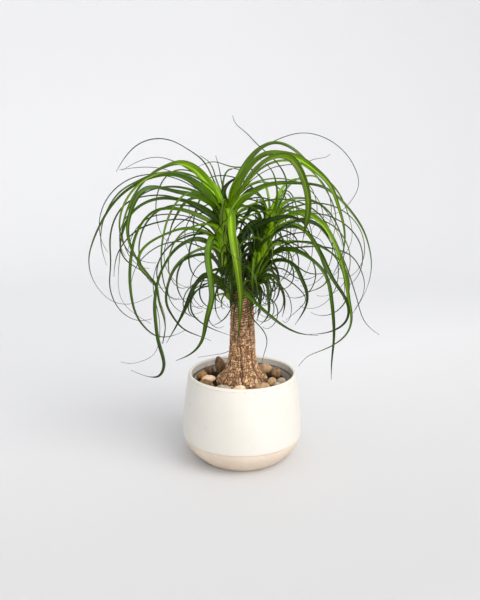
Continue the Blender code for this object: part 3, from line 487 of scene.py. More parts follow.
def plastic_finish():
    """Pale taupe moulded plastic, matt, dusty with soil, its rim a dark line of painted shadow for the gap
    inside the stoneware.
    """
    plastic = Finish("taupe_plastic", (0.5, 0.44, 0.37), 0.5)
    dust = plastic.ramp(plastic.noise(70.0, 5.0, 0.7), (0.42, 0.0), (0.68, 1.0))
    body = plastic.blend(plastic.times(dust, 0.4), PLASTIC, PLASTIC_DUST)
    # Painted shadow: the top of the rim, from about 136 mm up, is dark for the gap between it and the
    # stoneware.
    edge = plastic.ramp(plastic.times(plastic.along("Z"), 5.0), (0.677, 0.0), (0.681, 1.0))
    plastic.colour(plastic.blend(edge, body, PLASTIC_RIM_PAINTED_SHADOW))
    plastic.gloss(plastic.ramp(dust, (0.0, 0.42), (1.0, 0.75)))
    plastic.relief(plastic.noise(400.0), 0.06)
    return plastic.material


def make_drill(turn):
    """A short round bar through the grow pot's floor, for one drain hole."""
    heights = np.array([[POT_FLOOR - 3.0], [POT_FLOOR + 6.0]])
    bar = polar(DRAIN_HOLE_R, full_turn(DRILL_SIDES), heights)
    return put_mesh("drill", *skin(bar + polar(DRAIN_RING_R, turn, 0.0)))


def make_grow_pot():
    """The profile turned, and a hole drilled at each even step round its floor."""
    grow = put_mesh("nursery_pot", *skin(turned(grow_profile(), GROW_SIDES)))
    for hole in range(DRAIN_HOLES):
        drill = make_drill(2 * math.pi * (hole + 0.5) / DRAIN_HOLES)
        cut = grow.modifiers.new("drain", "BOOLEAN")
        cut.operation = "DIFFERENCE"
        cut.object = drill
        shown = grow.evaluated_get(bpy.context.evaluated_depsgraph_get())
        finished = bpy.data.meshes.new_from_object(shown)
        grow.modifiers.clear()
        grow.data = finished
        bpy.data.objects.remove(drill, do_unlink=True)
    grow.data.materials.clear()
    grow.data.materials.append(plastic_finish())
    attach(grow, "root")
    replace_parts(grow, "grow_pot")


make_grow_pot()


# The soil
# Dark potting mix of bark fines and peat. It fills the grow pot round the root end, and shows
# in the gaps between the pebbles, with loose crumbs on top.

SOIL_TOP_Z = 126.0
CAUDEX_R = 43.0
ROOT_HOLE = ((38.5, 101.0), (18.0, 78.0), (CORE_R, 74.0))    # the hole that the root end fills
SOIL_SIDES = 180
# The lumps of the top: how deep in all, cell size, seed
LUMPS = ((2.2, 4.0, 1), (1.4, 1.8, 2))
CRUMBS = 420
CRUMB_ROWS = 7
CRUMB_SIDES = 9
CRUMB_R = (0.8, 2.6)
CRUMB_SQUEEZE = ((0.6, 1.0), (0.5, 0.9))    # its width and height as shares of its length
CRUMB_DENT = 0.5                 # share of its radius
CRUMB_LIFT = 0.2                 # how far its middle lies over the soil
SOIL_SEED = 5
SOIL_TONES = ((0.35, (0.012, 0.008, 0.006)), (0.6, (0.045, 0.028, 0.018)), (0.75, (0.1, 0.066, 0.04)))


def lattice_noise(points, cell, seed):
    """Smooth noise from 0 to 1: random values on a cubic lattice of that cell size, blended
    between the eight corners round each point."""
    values = np.random.default_rng(seed).random((16, 16, 16))
    place = np.asarray(points) / cell + 100.0
    corner = np.floor(place).astype(int)
    share = place - corner
    share = share * share * (3.0 - 2.0 * share)
    total = np.zeros(place.shape[:-1])
    for step in np.ndindex(2, 2, 2):
        x, y, z = np.moveaxis((corner + step) % 16, -1, 0)
        total += values[x, y, z] * np.prod(np.where(step, share, 1.0 - share), axis=-1)
    return total


def dents(points, cell, seed):
    """The same noise round zero, from -0.5 to 0.5."""
    return lattice_noise(points, cell, seed) - 0.5


def rotation(first, second, angle):
    """A turn by angle from the first axis, a number from 0 to 2, towards the second."""
    matrix = np.eye(3)
    matrix[first, first] = matrix[second, second] = math.cos(angle)
    matrix[second, first] = math.sin(angle)
    matrix[first, second] = -math.sin(angle)
    return matrix


def ball_rings(rows, sides, steepest):
    """A ball of radius 1: rings at even angles from -steepest to steepest degrees."""
    lift = np.radians(np.linspace(-steepest, steepest, rows))[:, None]
    return polar(np.cos(lift), full_turn(sides), np.sin(lift))


def crumb_rings(draw):
    """One rough crumb on the soil: a small ball, dented, squeezed and turned at random."""
    ball = ball_rings(CRUMB_ROWS, CRUMB_SIDES, 80.0)
    ball *= 1.0 + CRUMB_DENT * dents(ball, 0.7, int(draw.integers(1000)))[..., None]
    ball *= draw.uniform(*CRUMB_R) * np.array([1.0, *(draw.uniform(*share) for share in CRUMB_SQUEEZE)])
    ball = ball @ rotation(0, 1, draw.uniform(0, 2 * math.pi)).T
    around = draw.uniform(0, 2 * math.pi)
    limit = grow_inner_radius(SOIL_TOP_Z) - 3.0
    out = math.sqrt(draw.uniform((CAUDEX_R + 1.0) ** 2, limit ** 2))
    return ball + polar(out, around, SOIL_TOP_Z + CRUMB_LIFT)


def gather(skins):
    """Several skins as one mesh's points, quads and fans."""
    points, quads, fans = zip(*skins)
    first = np.cumsum([0] + [len(p) for p in points])
    faces = [np.concatenate([face + start for face, start in zip(kind, first)]) for kind in (quads, fans)]
    return np.concatenate(points), *faces


def soil_rings():
    """From under the plug up its side, then inwards over the lumpy top and down the root hole."""
    low = POT_FLOOR + 2 * GAP + GROW_WALL
    under = [(CORE_R, low), (30.0, low)]
    side = up_wall(grow_inner_radius, np.linspace(low, SOIL_TOP_Z - 1.0, 12), -2 * GAP)
    top_r = np.linspace(grow_inner_radius(SOIL_TOP_Z) - 1.5, CAUDEX_R + 1.0, 26)
    top = np.stack([top_r, np.full(len(top_r), SOIL_TOP_Z)], 1)
    hole = [(CAUDEX_R + 0.6, SOIL_TOP_Z - 2.0), *ROOT_HOLE]
    rings = turned(np.concatenate([under, side, top, hole]), SOIL_SIDES)
    start = len(under) + len(side)
    lumpy = slice(start, start + len(top) - 2)
    rings[lumpy, :, 2] += sum(depth * dents(rings, cell, seed) for depth, cell, seed in LUMPS)[lumpy]
    return rings


def soil_finish():
    """Near black, with brown fines and a coarse relief."""
    soil = Finish("potting_mix", (0.03, 0.02, 0.014), 0.95)
    soil.colour(soil.ramp(soil.noise(260.0, 6.0, 0.7), *SOIL_TONES))
    soil.relief(soil.noise(700.0, 4.0, 0.7), 0.8)
    return soil.material


def make_soil():
    """The plug of soil and all its loose crumbs as one mesh."""
    draw = np.random.default_rng(SOIL_SEED)
    crumbs = [skin(crumb_rings(draw)) for _ in range(CRUMBS)]
    soil = put_mesh("potting_mix", *gather([skin(soil_rings())] + crumbs), [soil_finish()])
    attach(soil, "root")
    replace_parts(soil, "soil")


make_soil()


# The trunk
# The palm's swollen base and short stem, one woody piece. Its corky bark is cracked into small
# plates that run in upright ribs, and higher up it is ringed by the scars of fallen leaves.

TRUNK_TOP_Z = 291.0
TRUNK_TOP_R = 17.5
TRUNK_TAPER = 0.035              # mm that the stem widens for each mm down
FLARE_R = 45.0                   # the flare's size at FLARE_Z, and its fall over FLARE_RUN
FLARE_Z = 128.0
FLARE_RUN = 12.3
FLARE_SOFTNESS = 3.0
CAUDEX_DEPTH = 52.0
BURIED_ROWS = (0.99, 0.9, 0.7, 0.45, 0.2)    # shares of that depth
FADE_RUN = 6.0                   # the relief grows over this height above the soil,
FADE_LEAST = 0.15                # from this share
TRUNK_SIDES = 300
TRUNK_ROWS = 320
STEM_FROM = 205.0                # the bark turns from the base's to the stem's round this height,
STEM_BLEND = 14.0                # over about this run
RIB_HEIGHT = 0.035               # share of the trunk's radius
RIBS = ((0.5, 7, 0.035), (0.35, 11, -0.06))    # their share, number round, lean for each mm up
RIB_WANDER = 0.1                 # how far noise bends them, in radians
FURROW_DEPTH = 1.5
FURROW_WIDTH = 0.16              # of the way from one furrow to the next
PLATE_COLUMNS = 44
PLATE_ROWS = 80
PLATE_HEIGHT = 4.6
PLATE_RELIEF = 1.5
PLATE_STEP = 0.7                 # how much one plate stands over another
CRACK_WIDTH = 0.3                # of a plate
SCAR_STEP = 4.3
SCAR_RELIEF = 1.4
COARSE_RELIEF = 1.3
FINE_RELIEF = 0.9
BARK_TONES = ((0.0, (0.22, 0.11, 0.052)), (0.45, (0.5, 0.27, 0.125)), (0.8, (0.74, 0.46, 0.25)),
              (1.0, (0.84, 0.58, 0.34)))
CRACK_TONE = (0.07, 0.03, 0.018)


def trunk_radius(z):
    """A straight taper plus an exponential flare, held to the caudex radius by a soft minimum."""
    stem = TRUNK_TOP_R + TRUNK_TAPER * (TRUNK_TOP_Z - z)
    flare = FLARE_R * np.exp(-(z - FLARE_Z) / FLARE_RUN)
    both = np.exp(-(stem + flare) / FLARE_SOFTNESS) + math.exp(-CAUDEX_R / FLARE_SOFTNESS)
    return -FLARE_SOFTNESS * np.log(both)


def plate_cells(turn, z, seed):
    """Distances to the nearest and the second nearest of a jittered grid of plate middles, one
    cell being one unit, and a random number for the nearest."""
    jitter = np.random.default_rng(seed).random((PLATE_ROWS, PLATE_COLUMNS, 3))
    u = (turn / (2 * math.pi) % 1.0) * PLATE_COLUMNS
    v = z / PLATE_HEIGHT
    column, row = np.floor(u).astype(int), np.floor(v).astype(int)
    nearest, second, tone = np.full(u.shape, 9.0), np.full(u.shape, 9.0), np.zeros(u.shape)
    for dc in (-1, 0, 1):
        for dr in (-1, 0, 1):
            there = jitter[(row + dr) % PLATE_ROWS, (column + dc) % PLATE_COLUMNS]
            apart = np.hypot(column + dc + 0.15 + 0.7 * there[..., 0] - u,
                             row + dr + 0.1 + 0.8 * there[..., 1] - v)
            closer = apart < nearest
            second = np.where(closer, nearest, np.minimum(second, apart))
            tone = np.where(closer, there[..., 2], tone)
            nearest = np.minimum(nearest, apart)
    return nearest, second, tone


def bark(turn, z):
    """Outward relief in mm, the depth of shade from 0 on a plate's face to 1 in a crack, and
    each plate's tone. Broad ribs and furrows carry plates parted by cracks. Up the stem leaf
    scars ring it, each a soft step that wavers round it."""
    radius = trunk_radius(z)
    at = polar(radius, turn, z)
    wander = dents(at, 9.0, 3)
    drift = turn + RIB_WANDER * wander
    ribs = sum(share * np.sin(number * drift + lean * z) for share, number, lean in RIBS)
    furrow = np.exp(-(np.sin(3.5 * drift + 0.6 + 0.012 * z) / FURROW_WIDTH) ** 2)
    nearest, second, tone = plate_cells(drift, z + 5.0 * wander, 7)
    edge = np.clip((second - nearest) / CRACK_WIDTH, 0.0, 1.0)
    upper = 1.0 / (1.0 + np.exp(-(z - STEM_FROM) / STEM_BLEND))
    phase = z / SCAR_STEP + 1.6 * lattice_noise(at, 14.0, 4) + 0.25 * np.sin(2 * turn)
    scar = 0.5 + 0.5 * np.cos(2 * math.pi * phase)
    fine = dents(at, 1.6, 6)
    relief = RIB_HEIGHT * radius * ribs * (1.0 - 0.45 * upper) - FURROW_DEPTH * furrow
    relief += (1.0 - 0.6 * upper) * PLATE_RELIEF * (edge - 0.6) + SCAR_RELIEF * upper * (scar - 0.5)
    relief += FINE_RELIEF * fine + COARSE_RELIEF * dents(at, 5.0, 8) + PLATE_STEP * (tone - 0.5)
    crack = np.maximum((1.0 - edge) * (1.0 - 0.55 * upper), 0.75 * furrow)
    crack = np.maximum(crack, upper * np.clip(0.85 - 1.6 * scar, 0.0, 1.0))
    return relief, np.clip(crack - 0.5 * fine, 0.0, 1.0), tone


def bark_finish():
    """Tan cork faces, each plate its own shade, over red-brown cracks."""
    cork = Finish("corky_bark", (0.3, 0.17, 0.08), 0.88)
    patch = cork.ramp(cork.noise(34.0, 5.0, 0.6), (0.35, 0.72), (0.65, 1.12))
    face = cork.tint(cork.ramp(cork.read("plate_tone"), *BARK_TONES), patch)
    deep = cork.ramp(cork.read("crack_depth"), (0.15, 0.0), (0.75, 1.0))
    cork.colour(cork.blend(deep, face, CRACK_TONE))
    cork.relief(cork.noise(900.0, 5.0, 0.65), 0.5)
    return cork.material


def make_trunk():
    """A buried half ball, the bark's relief on the trunk's own radius, and a small flat top.
    The relief fades out where the trunk meets the soil."""
    buried = [(CAUDEX_R * math.sqrt(1.0 - s * s), SOIL_TOP_Z - CAUDEX_DEPTH * s) for s in BURIED_ROWS]
    z = np.linspace(SOIL_TOP_Z, TRUNK_TOP_Z - 4.0, TRUNK_ROWS)
    turn, z = np.meshgrid(full_turn(TRUNK_SIDES), z)
    relief, crack, tone = bark(turn, z)
    shown_relief = relief * np.clip((z - SOIL_TOP_Z) / FADE_RUN, FADE_LEAST, 1.0)
    shown = polar(trunk_radius(z) + shown_relief, turn, z)
    crown = [(TRUNK_TOP_R - 3.0, TRUNK_TOP_Z - 1.5), (8.0, TRUNK_TOP_Z)]
    rings = np.concatenate([turned(buried, TRUNK_SIDES), shown, turned(crown, TRUNK_SIDES)])
    rest = (len(buried) * TRUNK_SIDES, len(crown) * TRUNK_SIDES + 2)
    trunk = put_mesh("bark_trunk", *skin(rings), [bark_finish()],
                     crack_depth=np.pad(crack.ravel(), rest), plate_tone=np.pad(tone.ravel(), rest))
    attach(trunk, "root")
    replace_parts(trunk, "trunk")


make_trunk()


# The pebbles
# River pebbles lie on the soil round the trunk, each a loose stone worn smooth by water. They
# are of mixed rock, brown, ochre, cream, olive and grey, some banded, some flecked.

# Way round the pot in degrees, distance from its axis, length, width, height, turn, tilt, rock
PEBBLES = (
    (130.0, 60.0, 19.0, 17.0, 31.0, 20.0, 12.0, "brown"),
    (144.0, 71.0, 16.0, 14.0, 15.0, 50.0, 0.0, "umber"),
    (166.0, 69.5, 20.0, 16.0, 14.0, 80.0, 0.0, "ochre"),
    (180.0, 57.0, 24.0, 16.0, 14.0, 0.0, 6.0, "cream"),
    (199.0, 64.5, 24.0, 16.0, 14.0, -19.0, 0.0, "olive"),
    (237.0, 57.0, 27.0, 17.0, 13.0, 123.0, 4.0, "grey"),
    (217.0, 68.5, 18.0, 16.0, 15.0, 0.0, 0.0, "umber"),
    (266.0, 58.0, 21.0, 16.0, 17.0, 94.0, 0.0, "cream"),
    (287.0, 69.0, 20.0, 16.0, 15.0, 90.0, 5.0, "brown"),
    (305.0, 56.0, 26.0, 18.0, 18.0, 55.0, 0.0, "tan"),
    (349.0, 66.5, 17.0, 16.0, 15.0, 0.0, 0.0, "grey"),
    (335.0, 54.5, 16.0, 15.0, 18.0, 60.0, 0.0, "tan"),
    (325.0, 70.0, 17.0, 15.0, 15.0, 85.0, 0.0, "grey"),
    (22.0, 63.0, 18.0, 17.0, 19.0, 20.0, 0.0, "brown"),
    (46.0, 60.0, 24.0, 14.0, 18.0, 120.0, 8.0, "tan"),
    (68.0, 64.0, 18.0, 20.0, 16.0, 50.0, 0.0, "umber"),
    (90.0, 66.0, 19.0, 17.0, 15.0, 10.0, 0.0, "grey"),
    (111.0, 62.0, 18.0, 16.0, 17.0, 0.0, 0.0, "brown"),
    (251.0, 71.0, 16.0, 14.0, 14.0, 60.0, 0.0, "cream"),
)

# Each rock: its dark and light tones, the tone of its bands or patches, and how strong they are
ROCKS = {
    "brown": ((0.11, 0.054, 0.022), (0.3, 0.17, 0.08), (0.44, 0.28, 0.15), 0.35),
    "umber": ((0.09, 0.042, 0.023), (0.27, 0.155, 0.09), (0.4, 0.25, 0.16), 0.3),
    "ochre": ((0.26, 0.12, 0.024), (0.5, 0.28, 0.08), (0.23, 0.11, 0.03), 0.5),
    "cream": ((0.75, 0.5, 0.31), (0.93, 0.78, 0.55), (0.75, 0.45, 0.28), 0.4),
    "olive": ((0.13, 0.072, 0.017), (0.33, 0.19, 0.06), (0.09, 0.045, 0.013), 0.5),
    "grey": ((0.25, 0.195, 0.14), (0.48, 0.4, 0.3), (0.62, 0.53, 0.41), 0.4),
    "tan": ((0.3, 0.165, 0.07), (0.56, 0.36, 0.19), (0.7, 0.5, 0.3), 0.4),
}
STONE_ROWS = 44
STONE_SIDES = 72
STONE_DENTS = ((0.16, 8.0, 0), (0.05, 3.0, 50))    # how deep, cell size, added to the number


def stone_rings(number, length, width, height, turn, tilt):
    """A worn stone: a ball squeezed to its three sizes, fuller at one end, then dented by
    smooth noise of two sizes and tilted and turned."""
    x, y, z = np.moveaxis(ball_rings(STONE_ROWS, STONE_SIDES, 87.0), -1, 0)
    full = 1.0 + 0.12 * x + 0.06 * np.sin(3 * y + number)
    ball = np.stack([x * length / 2, y * full * width / 2, z * full * height / 2], -1)
    uneven = sum(depth * dents(ball, cell, number + more) for depth, cell, more in STONE_DENTS)
    ball *= (1.0 + uneven)[..., None]
    over = rotation(2, 0, math.radians(tilt))
    return ball @ (rotation(0, 1, math.radians(turn)) @ over).T


def stone_finish(rock):
    """Water-worn stone, nearly smooth: mottled body, soft bands that a noise bends, fine flecks."""
    dark, light, band, strength = ROCKS[rock]
    stone = Finish("river_stone_" + rock, light, 0.5)
    body = stone.ramp(stone.noise(95.0, 6.0, 0.65), (0.34, dark), (0.66, light))
    bent = stone.add("TexWave", {"Vector": stone.place(), "Scale": 42.0, "Distortion": 7.0,
                                 "Detail": 3.0, "Detail Scale": 2.0}).outputs["Fac"]
    bands = stone.ramp(bent, (0.62, 0.0), (0.9, 1.0))
    body = stone.blend(stone.times(bands, strength), body, band)
    flecks = stone.ramp(stone.noise(900.0, 2.0), (0.6, 0.0), (0.68, 1.0))
    stone.colour(stone.blend(stone.times(flecks, 0.35), body, dark))
    stone.gloss(stone.ramp(stone.noise(150.0), (0.3, 0.38), (0.7, 0.6)))
    stone.relief(stone.noise(1100.0, 3.0), 0.08)
    stone.shader.inputs["Specular IOR Level"].default_value = 0.35
    return stone.material


def make_pebble(number, angle, distance, length, width, height, turn, tilt, rock):
    """The stone is moved out to its place and down until it lies a hair over the soil."""
    rings = stone_rings(number, length, width, height, turn + angle, tilt)
    rings += polar(distance, math.radians(angle), SOIL_TOP_Z + GAP - rings[..., 2].min())
    stone = put_mesh(f"river_stone_{number:02d}", *skin(rings), [rock_finishes[rock]])
    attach(stone, "root")
    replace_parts(stone, f"pebble_{number:02d}")


rock_finishes = {rock: stone_finish(rock) for rock in ROCKS}
for number, form in enumerate(PEBBLES, 1):
    make_pebble(number, *form)


# The heads of leaves
# Four leafy shoots grow from the trunk's top: a tall one, one behind it on the right, and two
# small rosettes. Each leaf is one long channelled blade, broad and pale where it clasps the
# shoot, that narrows to a dry thread. The shoots are soft green wood under the leaf bases.

# Each shoot: foot and top of its middle line, radius
SHOOTS = {
    "head_main": ((-11.0, -2.0, 284.0), (-29.0, -3.0, 432.0), 9.5),
    "head_right": ((9.0, 6.0, 284.0), (47.0, 24.0, 412.0), 8.0),
    "rosette_left": ((-14.0, -13.0, 272.0), (-27.0, -27.0, 296.0), 4.5),
    "rosette_right": ((12.0, -12.0, 276.0), (22.0, -24.0, 302.0), 4.5),
}
SHOOT_BULGE = 0.13               # a shoot is this share thicker half way up

# Leaves drawn one by one: width, taper (above 1 it narrows early, below 1 late), how far it
# swings back (+) or forward (-) of its root, twist in degrees, and its line from root to tip
# as (x, z) seen from the eye on the trunk's plane
DRAWN = {
    "head_main": (
        (21, 1.9, 25, -68, ((-29, 424), (-50, 452), (-78, 482), (-98, 489), (-120, 485), (-142, 474),
         (-162, 454), (-180, 425), (-192, 390), (-198, 350), (-203, 305), (-198, 270), (-180, 249),
         (-152, 231))),
        (19, 1.7, -35, 62, ((-29, 408), (-55, 440), (-80, 461), (-105, 471), (-135, 470), (-165, 459),
         (-195, 438), (-220, 407), (-240, 370), (-249, 340), (-247, 313), (-234, 287), (-212, 268),
         (-188, 264), (-148, 279))),
        (4, 0.4, 60, 20, ((-28, 428), (-45, 462), (-62, 494), (-85, 512), (-110, 525), (-135, 528),
         (-165, 518), (-187, 496), (-199, 478))),
        (3, 0.4, 90, 10, ((-28, 420), (-60, 462), (-100, 490), (-130, 500), (-160, 495), (-190, 480))),
        (3, 0.4, 75, 10, ((-28, 414), (-60, 446), (-90, 467), (-120, 481), (-150, 485), (-194, 481))),
        (6, 0.6, -5, 30, ((-28, 416), (-60, 452), (-100, 474), (-135, 475), (-165, 463), (-193, 447),
         (-213, 422), (-226, 390), (-228, 362), (-221, 329))),
        (15, 1.1, -60, -72, ((-29, 400), (-55, 428), (-80, 439), (-105, 445), (-135, 452), (-155, 449),
         (-170, 434), (-180, 412), (-185, 385), (-178, 352), (-160, 322), (-145, 300), (-139, 278),
         (-129, 245), (-134, 196))),
        (11, 0.8, -15, 60, ((-30, 382), (-60, 402), (-85, 413), (-112, 419), (-140, 415), (-157, 401),
         (-170, 378), (-178, 350), (-183, 315), (-182, 275), (-175, 245), (-160, 222), (-144, 210),
         (-120, 209), (-94, 220))),
        (5, 0.5, 40, 30, ((-29, 392), (-70, 418), (-110, 438), (-150, 440), (-180, 431), (-203, 405),
         (-213, 370), (-214, 330), (-217, 296), (-210, 267), (-195, 247), (-170, 236), (-150, 239))),
        (12, 0.9, -75, 55, ((-30, 394), (-60, 417), (-90, 431), (-120, 436), (-150, 430), (-178, 410),
         (-192, 382), (-196, 352), (-186, 335), (-165, 320), (-148, 300))),
        (9.5, 0.25, -45, 70, ((-29, 348), (-50, 362), (-72, 370), (-92, 364), (-110, 351), (-124, 332),
         (-134, 312), (-140, 288), (-143, 258), (-142, 228), (-139, 200), (-133, 175), (-132, 152),
         (-141, 138), (-160, 138), (-188, 149))),
        (9, 0.6, -20, 65, ((-30, 366), (-60, 381), (-95, 387), (-125, 378), (-150, 364), (-165, 347),
         (-168, 332), (-158, 315), (-142, 297), (-137, 270), (-128, 230), (-133, 196))),
        (8, 0.7, 15, 60, ((-28, 335), (-60, 345), (-85, 341), (-104, 328), (-117, 307), (-124, 285),
         (-124, 262), (-115, 243), (-98, 222), (-76, 211), (-52, 201))),
        (14, 0.5, -70, 0, ((-29, 352), (-45, 374), (-54, 354), (-53, 325), (-50, 298), (-49, 275),
         (-55, 250), (-61, 226), (-68, 200), (-84, 180), (-112, 166))),
        (16, 0.75, -62, 5, ((-28, 374), (-29, 402), (-25, 421), (-20, 412), (-18, 392), (-14, 360),
         (-8, 324), (-4, 291), (-3, 261), (-5, 231), (-8, 197))),
        (5, 0.5, 60, 60, ((-27, 432), (-33, 460), (-37, 484), (-42, 503))),
        (6, 0.5, 40, 60, ((-28, 430), (-42, 466), (-52, 492), (-67, 503))),
        (6, 0.6, 90, 50, ((-27, 430), (-31, 462), (-20, 482), (-4, 480), (12, 462))),
        (17, 1.3, -10, 70, ((-26, 424), (-10, 452), (8, 488), (30, 513), (50, 521), (75, 514),
         (100, 493), (128, 470), (152, 446), (168, 415), (176, 388), (176, 368), (160, 338))),
        (22, 1.2, -35, 66, ((-26, 416), (-6, 450), (14, 484), (36, 502), (60, 504), (88, 497),
         (115, 480), (138, 458), (153, 425), (163, 392), (165, 362), (155, 328), (138, 300),
         (109, 284))),
        (12, 0.5, -75, 75, ((-26, 408), (-8, 438), (18, 476), (48, 498), (74, 499), (89, 484), (99, 462),
         (105, 436), (105, 412), (101, 388), (95, 355))),
        (3, 0.4, 50, 10, ((-26, 420), (0, 472), (30, 512), (60, 529), (95, 537), (130, 529), (158, 510),
         (178, 482), (184, 460), (172, 431), (150, 413), (131, 411))),
        (8, 0.7, 25, 55, ((-26, 410), (2, 452), (30, 482), (62, 494), (95, 488), (122, 464), (140, 436),
         (149, 410), (148, 384), (144, 360))),
        (17, 0.6, -34, 62, ((-24, 350), (-12, 362), (7, 376), (22, 388), (38, 398), (53, 404), (73, 407),
         (89, 404), (102, 393), (111, 377))),
        (14, 1.1, -22, 60, ((-24, 404), (0, 430), (25, 449), (55, 458), (90, 459), (125, 454),
         (152, 437), (176, 412), (194, 386), (205, 358), (210, 330), (207, 300), (196, 271),
         (180, 244))),
        (11, 0.9, -40, -60, ((-30, 402), (-50, 425), (-70, 436), (-88, 431), (-100, 417), (-110, 400),
         (-116, 384), (-121, 360))),
        (12, 0.5, 10, 55, ((-26, 412), (-7, 428), (1, 439), (8, 447), (15, 451), (25, 448))),
        (11, 0.6, 45, 60, ((-28, 426), (-31, 440), (-28, 454), (-18, 465), (-7, 468), (6, 462))),
    ),
    "head_right": (
        (4, 0.4, -15, 20, ((44, 402), (62, 430), (71, 456), (64, 480), (46, 501), (26, 518), (2, 541),
         (-12, 554), (-15, 563))),
        (13, 0.7, -75, 66, ((42, 380), (70, 404), (98, 412), (122, 400), (140, 378), (154, 352),
         (164, 325), (171, 298), (176, 270), (181, 242), (176, 217), (157, 197), (130, 183), (108, 172),
         (95, 156))),
        (11, 0.7, -95, 66, ((40, 366), (66, 388), (92, 388), (116, 364), (134, 334), (149, 306),
         (165, 283), (176, 258), (173, 236), (154, 220), (112, 212))),
        (5, 0.5, 30, 30, ((38, 350), (60, 354), (90, 357), (122, 359), (152, 354), (176, 344),
         (192, 323), (200, 299), (196, 273), (186, 255))),
        (11, 0.7, -60, 62, ((37, 340), (60, 352), (84, 352), (106, 341), (126, 324), (139, 303),
         (146, 275), (151, 240), (153, 205), (151, 168), (151, 132))),
        (5, 0.5, 0, 30, ((42, 385), (80, 398), (115, 395), (145, 370), (164, 338), (178, 303),
         (190, 268), (204, 233), (229, 211))),
        (8, 0.7, -110, 60, ((40, 372), (62, 392), (86, 394), (108, 378), (124, 352), (134, 326),
         (138, 302), (128, 292), (100, 284))),
        (12, 0.8, -50, 62, ((34, 322), (50, 333), (68, 335), (84, 327), (96, 308), (105, 288),
         (107, 270), (99, 247), (88, 229))),
        (8, 0.8, 45, 55, ((46, 404), (70, 430), (95, 436), (118, 430), (140, 412), (156, 384),
         (164, 356), (160, 325), (140, 304))),
        (9, 0.7, -45, 60, ((46, 400), (56, 430), (55, 458), (44, 484), (28, 497))),
        (6, 0.6, 70, 40, ((46, 402), (68, 448), (92, 468), (115, 470), (134, 450), (142, 420),
         (138, 385))),
        (11, 0.8, -66, 20, ((38, 352), (22, 372), (4, 368), (-7, 348), (-8, 326), (0, 306))),
        (8, 0.8, 60, 60, ((44, 398), (40, 440), (28, 470), (12, 482), (-15, 485), (-45, 493),
         (-73, 484))),
        (14, 0.6, -30, 62, ((44, 400), (31, 417), (23, 422), (15, 420), (6, 410), (-2, 393), (-5, 373))),
        (12, 0.6, -45, 62, ((39, 384), (25, 396), (15, 397), (6, 388), (-1, 370), (-4, 351), (-4, 331))),
        (11, 0.6, -50, 60, ((25, 340), (32, 361), (46, 374), (61, 385), (83, 398), (102, 402),
         (121, 396), (136, 380), (147, 357))),
    ),
    "rosette_left": (
        (15, 0.7, -12, -72, ((-24, 292), (-42, 308), (-58, 310), (-72, 299), (-83, 281), (-92, 262),
         (-101, 243), (-113, 221), (-127, 197))),
        (5, 0.6, 20, 40, ((-24, 290), (-50, 300), (-70, 290), (-84, 268), (-83, 250), (-70, 234),
         (-50, 222), (-22, 211))),
        (5, 0.6, -25, 30, ((-25, 288), (-38, 290), (-44, 272), (-43, 250), (-36, 236))),
        (4, 0.5, -40, 20, ((-24, 294), (-34, 306), (-40, 290), (-36, 270), (-24, 258))),
    ),
    "rosette_right": (
        (9, 0.8, -48, 40, ((21, 300), (8, 302), (2, 290), (14, 272), (32, 256), (50, 241), (70, 226),
         (95, 214), (127, 210))),
        (8, 0.7, -14, 30, ((22, 302), (27, 294), (29, 276), (28, 254), (24, 235))),
        (9, 0.7, -30, 30, ((23, 303), (36, 300), (42, 278), (44, 256), (40, 240), (30, 229))),
        (8, 0.7, -20, 60, ((23, 303), (45, 312), (60, 298), (68, 280), (70, 262), (66, 242))),
        (4, 0.5, 20, 30, ((23, 300), (55, 312), (80, 300), (97, 285), (104, 272), (94, 256), (72, 236))),
        (3, 0.4, 5, 10, ((20, 288), (18, 238), (32, 222), (41, 200), (37, 180), (33, 163))),
        (7, 0.7, -26, 66, ((22, 300), (27, 322), (37, 345), (51, 366), (68, 376), (84, 368))),
        (6, 0.7, 2, 66, ((22, 298), (34, 324), (48, 343), (62, 350), (78, 344))),
    ),
}

# Leaves that fill each head all round: how many, longest and shortest length, widest blade,
# rise above the level in degrees at the foot and at the top of the shoot
FILL = {
    "head_main": (36, 400.0, 230.0, 11.0, 5.0, 58.0),
    "head_right": (36, 350.0, 180.0, 10.0, 0.0, 60.0),
    "rosette_left": (7, 150.0, 80.0, 7.0, 5.0, 60.0),
    "rosette_right": (8, 165.0, 80.0, 7.0, 5.0, 65.0),
}
LOWEST_LEAF = 0.2                # the fill starts at this share of the shoot's height
LONGEST_AT = 0.45                # its leaves are longest at this share of the rest
HEADING_SPREAD = (-12, 12)       # how far each leaf strays from the rule: degrees round,
RISE_SPREAD = (-8, 8)            # degrees of rise
LENGTH_SPREAD = (-40, 30)        # and mm of length
WIDTH_SHARE = (0.6, 1.0)         # its width as a share of the widest
SWAY_SPREAD = (-35, 35)          # its sideways drift and its twist, in degrees
TWIST_SPREAD = (-50, 50)
FRONT_SECTOR = 42.0              # leaves within this many degrees of the front are short,
FRONT_SHARE = 0.34               # by this factor, for the front of the crowns is open
YOUNG_SHARE = 0.35               # the topmost, youngest leaves are narrower by this share
SIDE_LIMIT = 225.0               # the fill hangs no lower than this at the sides
FACE_LIMIT = 290.0               # and than this in front and behind,
LEAST_HANG = 60.0                # but every leaf may hang this far below its root
HANG_SPREAD = 60.0               # and some end higher, by up to this
FILL_TAPER = 0.8                 # how early a fill leaf narrows
SHORTER = 0.93                   # a leaf that would hang lower is cut by this factor at a time
GOLDEN_ANGLE = 137.508
TURN_TO_TIP = 235.0              # degrees that a leaf bends over from its root to its tip
LINE_POINTS = 300                # of a leaf's dense line
SWING_RUN = 0.6                  # a drawn leaf's depth changes over this share of its run
LEAF_SEED = 11
CLEAR_STEP = 8.0                 # mm between the points that clearances are measured at
ROOT_ZONE = 38.0                 # mm of each leaf that may touch its own head
SIDE_STEP = 9.0                  # how far a leaf is swung at a time to clear its neighbours
SIDE_TRIES = 24
